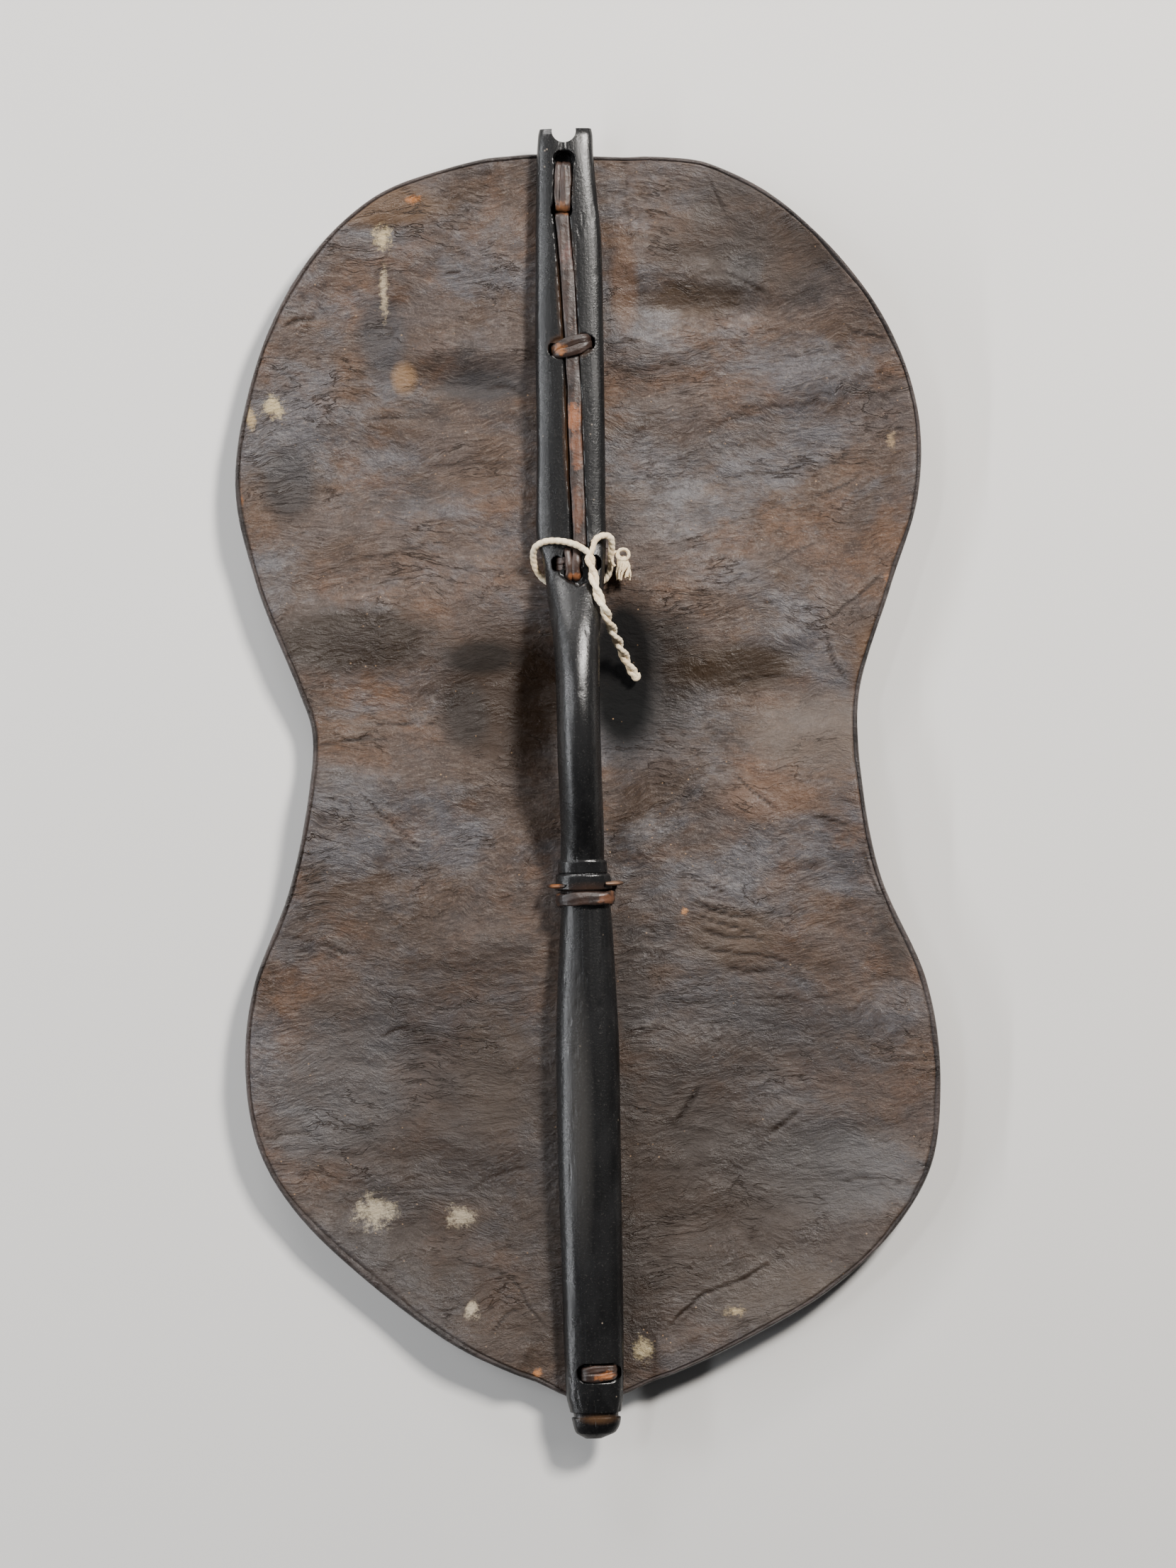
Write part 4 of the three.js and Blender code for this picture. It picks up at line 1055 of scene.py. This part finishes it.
def stave_wear(rings):
    """Knife facets, dents and a soft unevenness, all inwards so that the stave keeps its size."""
    x, y, z = rings[..., 0], rings[..., 1], rings[..., 2]
    around = np.arctan2(z - 30, x + 3) * 3
    facets = 0.175 * (fractal(around, y / 60, 71, 2) - 1)
    dents = -0.25 * ease(fractal(around * 2, y / 9, 83, 2), 0.35, 0.8)
    middle = rings.mean(1, keepdims=True)
    outward = rings - middle
    outward[..., 1] = 0
    outward /= np.linalg.norm(outward, axis=2, keepdims=True)
    return rings + outward * (facets + dents)[..., None]


def make_stave():
    rings = stave_wear(stave_rings())
    shape = rings.shape
    rings = carve(rings.reshape(-1, 3)).reshape(shape)
    points, faces = tube_mesh(rings)
    stave = mesh_object("stave_carved", points, [face[::-1] for face in faces])
    cut_notch(stave)
    stave.data.materials.append(wood_paint())
    finish_piece(stave, "stave", "stave")


def cut_notch(stave):
    """Takes the round notch out of the head and marks the sharp edges."""
    sides = NOTCH_SIDES
    ring = [(NOTCH_X + NOTCH_RADIUS * math.cos(2 * math.pi * k / sides),
             NOTCH_Y + NOTCH_RADIUS * math.sin(2 * math.pi * k / sides)) for k in range(sides)]
    points = [(x, y, z) for z in (0, 60) for x, y in ring]
    faces = [tuple(range(sides))[::-1], tuple(range(sides, 2 * sides))]
    faces += [(k, (k + 1) % sides, sides + (k + 1) % sides, sides + k) for k in range(sides)]
    cutter = mesh_object("notch_cutter", points, faces)
    cut = stave.modifiers.new("notch", "BOOLEAN")
    cut.operation = "DIFFERENCE"
    cut.solver = "EXACT"
    cut.object = cutter
    graph = bpy.context.evaluated_depsgraph_get()
    mesh = bpy.data.meshes.new_from_object(stave.evaluated_get(graph))
    stave.modifiers.clear()
    stave.data = mesh
    bpy.data.objects.remove(cutter)
    mesh.shade_smooth()
    mesh.set_sharp_from_angle(angle=math.radians(SHARP_ANGLE))


# ------------------------------------------------------------------ thongs

def rounded_section(half_width, half_thick, sides=20, power=2.6):
    angle = np.linspace(0, 2 * math.pi, sides, endpoint=False)
    c, s = np.cos(angle), np.sin(angle)
    return np.stack([half_width * np.sign(c) * np.abs(c) ** (2 / power),
                     half_thick * np.sign(s) * np.abs(s) ** (2 / power)], 1)


def frame_route(half, low, high, shoulder, small, spacing):
    """The middle line of a tie in its own plane: a frame with rounded shoulders, as (across, up)."""
    corners = [(-half, low, small), (half, low, small), (half, high, shoulder), (-half, high, shoulder)]
    points = []
    for i, (x, z, radius) in enumerate(corners):
        before, after = np.array(corners[i - 1][:2]), np.array(corners[(i + 1) % 4][:2])
        corner = np.array((x, z))
        a = corner + (before - corner) / np.linalg.norm(before - corner) * radius
        b = corner + (after - corner) / np.linalg.norm(after - corner) * radius
        for t in np.linspace(0, 1, 8):
            points.append((1 - t) ** 2 * a + 2 * t * (1 - t) * corner + t * t * b)
    points.append(points[0])
    return evenly(np.array(points), spacing)[:-1]


def tie_underside(tie):
    """How low a tie runs, just under the hide."""
    tx, ty, span, turn, _, _ = TIES[tie]
    reach = np.array([-span / 2, 0, span / 2])
    return hide_underside(tx + reach * math.cos(turn), ty + reach * math.sin(turn)).min() - 0.8


def strand_rings(path, spread, width, thick, seed, wrinkle=0.16):
    """Rings of a flattened, slightly uneven strand that runs round a closed path."""
    ahead = np.roll(path, -1, 0) - np.roll(path, 1, 0)
    ahead /= np.linalg.norm(ahead, axis=1, keepdims=True)
    out = np.cross(spread, ahead)
    out /= np.linalg.norm(out, axis=1, keepdims=True)
    run = np.arange(len(path)) * 0.8
    wobble = 1 + 0.10 * scatter(run / 6 + 40, run * 0, seed)
    section = rounded_section(width / 2, thick / 2, 28, 2.3)
    rings = []
    for i in range(len(path)):
        ridge = wrinkle * np.sin(section[:, 0] / (width / 2) * 6 + run[i] / 7 + seed)
        lift = section[:, 1] + ridge * np.sign(section[:, 1])
        rings.append(path[i] + section[:, :1] * wobble[i] * spread + lift[:, None] * out[i])
    return np.array(rings)


def make_tie(name, strands, seed, gather=0.22, shift=0.0, shorten=0.0, extra=()):
    """A thong wound through its holes: each strand has an offset, width, thickness and rise of its own."""
    tx, ty, span, turn, over, shoulder = TIES[name]
    low = tie_underside(name)
    span = span - shorten
    along = np.array([math.cos(turn), math.sin(turn), 0])
    lateral_way = np.array([-math.sin(turn), math.cos(turn), 0])
    centre = np.array([tx, ty, 0]) + shift * along
    meshes = []
    for k, (offset, width, thick, rise, slant) in enumerate(strands):
        half = span / 2 - thick / 2
        route = frame_route(half, low - thick / 2, over - thick / 2 + rise,
                            max(shoulder - thick / 2, 1.2), 1.2, 0.8)
        across, up = route.T
        crown = ease(up, low + 6, over)
        lateral = offset * (1 - gather * (across / half) ** 2 * crown) + slant * across / half
        lateral = lateral + 0.35 * scatter(across / 6, up / 6, seed + k)
        dome = 0.9 * crown * (across / half) ** 2 * (gather > 0.5)
        path = centre + across[:, None] * along + lateral[:, None] * lateral_way
        path[:, 2] = up - dome
        meshes.append(tube_mesh(strand_rings(path, lateral_way, width, thick, seed + 7 * k), closed=True))
    for knots, width, thick in extra:
        route = smooth_route(knots, 0.7)
        section = rounded_section(width / 2, thick / 2, 24, 2.2)
        meshes.append(tube_mesh(tube(route, lambda i, n: section * (1 + 0.07 * math.sin(i * 0.55 + width)))))
    make_piece(name + "_thong", "thong", name, thong_paint, meshes)


def make_thongs():
    make_tie("thong_top_loop", [(-1.7, 7.0, 3.0, 0.0, 0.3), (3.3, 3.6, 2.2, -0.7, 0.5)], 5,
             shift=-1.2, shorten=2.8)
    make_tie("thong_middle_knot", [(2.7, 6.2, 3.0, 0.0, 1.6), (-2.9, 6.4, 2.8, -0.3, 1.2)], 6, gather=0.74)
    lump = []
    for x, width, lean in ((-7.3, 4.6, -0.4), (-2.6, 5.2, 0.5)):
        lump.append(([(x + 0.8, 142.6, 31.5), (x + lean, 139.8, 35.2), (x, 136.0, 36.3),
                      (x - lean, 129.0, 36.3), (x, 124.6, 35.0), (x + 0.8, 122.6, 31.5)], width, 2.9))
    make_tie("thong_lower_tie", [(2.0, 5.4, 2.4, -2.2, 0), (-2.6, 5.0, 2.4, -2.6, 0)], 7, extra=lump)
    bend = ((17.4, 20.6), (18.8, 25.0), (19.0, 29.0), (17.6, 33.2), (14.6, 36.0), (12.4, 36.2))
    tabs = [([(-1.9 + side * x, -61.3 + 0.5 * side, z) for x, z in bend], 2.6, 8.0) for side in (-1, 1)]
    make_tie("waist_lashing", [(0.0, 7.6, 2.4, 0.0, 0.4)], 8, extra=tabs)
    make_tie("thong_bottom_tie", [(2.4, 5.2, 2.6, -0.2, 0.5), (-2.5, 5.4, 2.7, 0.0, 0.5)], 9, gather=0.5)
    make_strip()


STRIP_WIDTH, STRIP_THICK, STRIP_ASIDE = 8.2, 2.4, 0.7


def make_strip():
    bed = GROOVE_FLOOR + 0.3 + STRIP_THICK / 2
    knots = [(x + STRIP_ASIDE, y, bed) for x, y in GROOVE_LINE]
    first_x, first_y, _ = knots[0]
    knots[0] = (first_x, first_y - 1.6, bed - 0.1)
    knots.insert(0, (first_x, first_y - 0.1, bed - 1.4))
    last_x, last_y, _ = knots[-1]
    knots[-1] = (last_x, last_y + 1.0, bed)
    route = smooth_route(knots, 1.2)
    route[:, 0] += 0.35 * scatter(route[:, 1] / 14, route[:, 1] * 0, 91)

    def section(i, _):
        y = route[i, 1]
        width = STRIP_WIDTH * (1 + 0.05 * float(scatter(np.array([y / 11]), np.array([0.5]), 92)[0]))
        points = rounded_section(width / 2, STRIP_THICK / 2, 24, 3.2)
        points[:, 1] += 0.18 * np.sin(points[:, 0] * 1.3 + y / 9) * (points[:, 1] > 0)
        return points

    make_piece("groove_strip", "thong", "thong_groove_strip", thong_paint, [tube_mesh(tube(route, section))])


# ------------------------------------------------------------------ string

STRING_ROUTE = [
    (3.7, 139.6, 40.4), (-2.5, 143.6, 39.0), (-13.2, 146.3, 37.4), (-21.5, 146.0, 36.0), (-27.0, 143.2, 32.8),
    (-28.6, 137.5, 27.5), (-27.0, 130.0, 22.8), (-22.0, 123.6, 19.4), (-13.0, 119.8, 18.6),
    (-3.0, 118.6, 18.6), (8.0, 119.8, 18.8), (15.8, 124.6, 20.4), (18.0, 131.0, 23.8), (18.2, 137.0, 28.0),
    (19.0, 143.0, 32.6), (18.4, 147.4, 36.2), (15.2, 149.0, 38.0), (10.6, 147.6, 38.8), (8.0, 144.6, 39.8),
]
TAIL_ROUTE = [
    (5.4, 135.4, 41.6), (6.9, 127.8, 42.4), (8.9, 116.1, 46.2), (13.7, 103.7, 46.8), (17.5, 93.7, 37.0),
    (22.3, 83.1, 24.6), (26.9, 73.1, 15.2), (31.8, 64.0, 11.9),
]
KNOT_AT = (25.4, 131.6, 27.0)
STRING_RADIUS, TAIL_RADIUS = 2.05, 3.2
STRAND_RADIUS, STRAND_ASIDE = 1.75, 1.5
LOOP_PITCH, STRAND_PITCH, TAIL_PITCH = 7.5, 6.5, 25.0
STRING_STEP = 0.6


def lobed(radius, lobes, pitch, spacing, depth=0.2, sides=22):
    """A section with lobes that turn along the string, as twisted plies do."""
    def section(i, _):
        angle = np.linspace(0, 2 * math.pi, sides, endpoint=False)
        turn = 2 * math.pi * i * spacing / pitch
        r = radius * (1 - depth + depth * np.abs(np.cos(lobes * (angle - turn) / 2)) ** 0.8)
        return np.stack([r * np.cos(angle), r * np.sin(angle)], 1)
    return section


def helix_about(route, offset, pitch, phase):
    """One strand of a twist about a route."""
    rings = tube(route, lambda i, n: [(0, 1), (1, 0)])
    centre = np.asarray(route)
    up, side = rings[:, 0] - centre, rings[:, 1] - centre
    run = np.concatenate([[0], np.cumsum(np.linalg.norm(np.diff(centre, axis=0), axis=1))])
    angle = (2 * math.pi * run / pitch + phase)[:, None]
    ends = 1 - 0.8 * ease(run, run[-1] - 4.5, run[-1])[:, None]
    return centre + offset * ends * (np.cos(angle) * side + np.sin(angle) * up)


def tail_strands():
    """The two strands of the hanging tail, each with the points by which it leaves the loop."""
    route = smooth_route(TAIL_ROUTE, STRING_STEP)
    leads = ([(-1.5, 143.0, 39.4), (2.6, 140.6, 40.6)],
             [(9.6, 146.8, 39.2), (8.2, 144.2, 40.2), (7.0, 140.0, 41.2)])
    return [(lead, helix_about(route, STRAND_ASIDE, TAIL_PITCH, phase))
            for phase, lead in zip((math.pi, 0), leads)]


def strand_mesh(route, radius=STRAND_RADIUS, pitch=STRAND_PITCH, spacing=STRING_STEP):
    return tube_mesh(tube(route, lobed(radius, 2, pitch, spacing)))


def make_string_loop():
    meshes = [strand_mesh(smooth_route(STRING_ROUTE, STRING_STEP), STRING_RADIUS, LOOP_PITCH)]
    for lead, strand in tail_strands():
        meshes.append(strand_mesh(smooth_route([*lead, strand[1], strand[6]], STRING_STEP)))
    make_piece("string_round_stave", "string", "string_loop", string_paint, meshes)


def make_string_tail():
    route = smooth_route(TAIL_ROUTE, STRING_STEP)
    meshes = [strand_mesh(strand) for _, strand in tail_strands()]
    tip = route[-1]
    bight = smooth_route([tip + (-1.1, 2.4, -0.3), tip + (-1.0, -0.2, 0), tip + (0.5, -1.3, 0.1),
                          tip + (1.4, -0.2, 0), tip + (1.2, 2.4, 0)], 0.5)
    meshes.append(strand_mesh(bight, 1.7, spacing=0.5))
    tail = make_piece("string_tail_twist", "string", "string_tail", string_paint, meshes)


def make_string_knot():
    """The knotted and frayed end: a ring of string above a bundle of loosened yarns."""
    rng = np.random.default_rng(3)
    kx, ky, kz = KNOT_AT
    meshes = []

    def add(knots, radius, taper=0.0):
        route = smooth_route(knots, 0.5)
        section = lobed(radius, 2, 4.0, 0.5, sides=10)
        meshes.append(tube_mesh(tube(route, lambda i, n: section(i, n) * (1 - taper * i / n))))

    turns = np.linspace(0.3, 2 * math.pi * 1.2, 15)
    add([(kx + 0.2 + 3.5 * math.cos(a), ky + 6.0 + 3.3 * math.sin(a), kz + 0.6 + 0.4 * a)
         for a in turns], 1.15)
    add([(kx - 4.2 + 2.2 * math.cos(a), ky + 3.4 + 4.4 * math.sin(a), kz + 0.8 + 0.2 * a)
         for a in turns[:9]], 0.95)
    for k in range(17):
        a = 2 * math.pi * k / 17
        swing = rng.uniform(-1.2, 1.2)
        top = (kx + 2.2 * math.cos(a) - 0.4, ky + 4.4 + rng.uniform(-1.2, 1.6), kz + 1.8 * math.sin(a) + 0.6)
        mid = (kx + 3.4 * math.cos(a + 0.7) + 0.4, ky - 1 + rng.uniform(-1.6, 1.6),
               kz + 2.8 * math.sin(a + 0.7))
        low = (kx + 3.4 * math.cos(a + 1.4) + swing, ky - 5 + rng.uniform(-1, 1),
               kz + 2.5 * math.sin(a + 1.4))
        end = (kx + 3.2 * math.cos(a + 1.6) + 1.3 * swing, ky - 9 + rng.uniform(-0.8, 2.6),
               kz + 2.2 * math.sin(a + 1.6) + rng.uniform(-0.6, 0.6))
        add([top, mid, low, end], 0.95, 0.35)
    for k in range(16):
        a = rng.uniform(0, 2 * math.pi)
        root = np.array([kx + 2.5 * math.cos(a), ky - 6 + rng.uniform(-2, 7), kz + 2 * math.sin(a)])
        way = np.array([math.cos(a) + rng.uniform(-0.4, 0.4), rng.uniform(-1.4, 0.4), math.sin(a) * 0.6])
        bend = np.array([rng.uniform(-1, 1), rng.uniform(-1, 0.4), rng.uniform(-0.6, 0.6)])
        add([root, root + 1.0 * way, root + 1.7 * way + 0.5 * bend], 0.22, 0.5)
    make_piece("string_frayed_knot", "string", "string_knot", string_paint, meshes)


# ------------------------------------------------------------------ the whole scene

set_camera()
set_stage()
make_string_tail()
make_string_loop()
make_string_knot()
make_hide()
make_stave()
make_thongs()
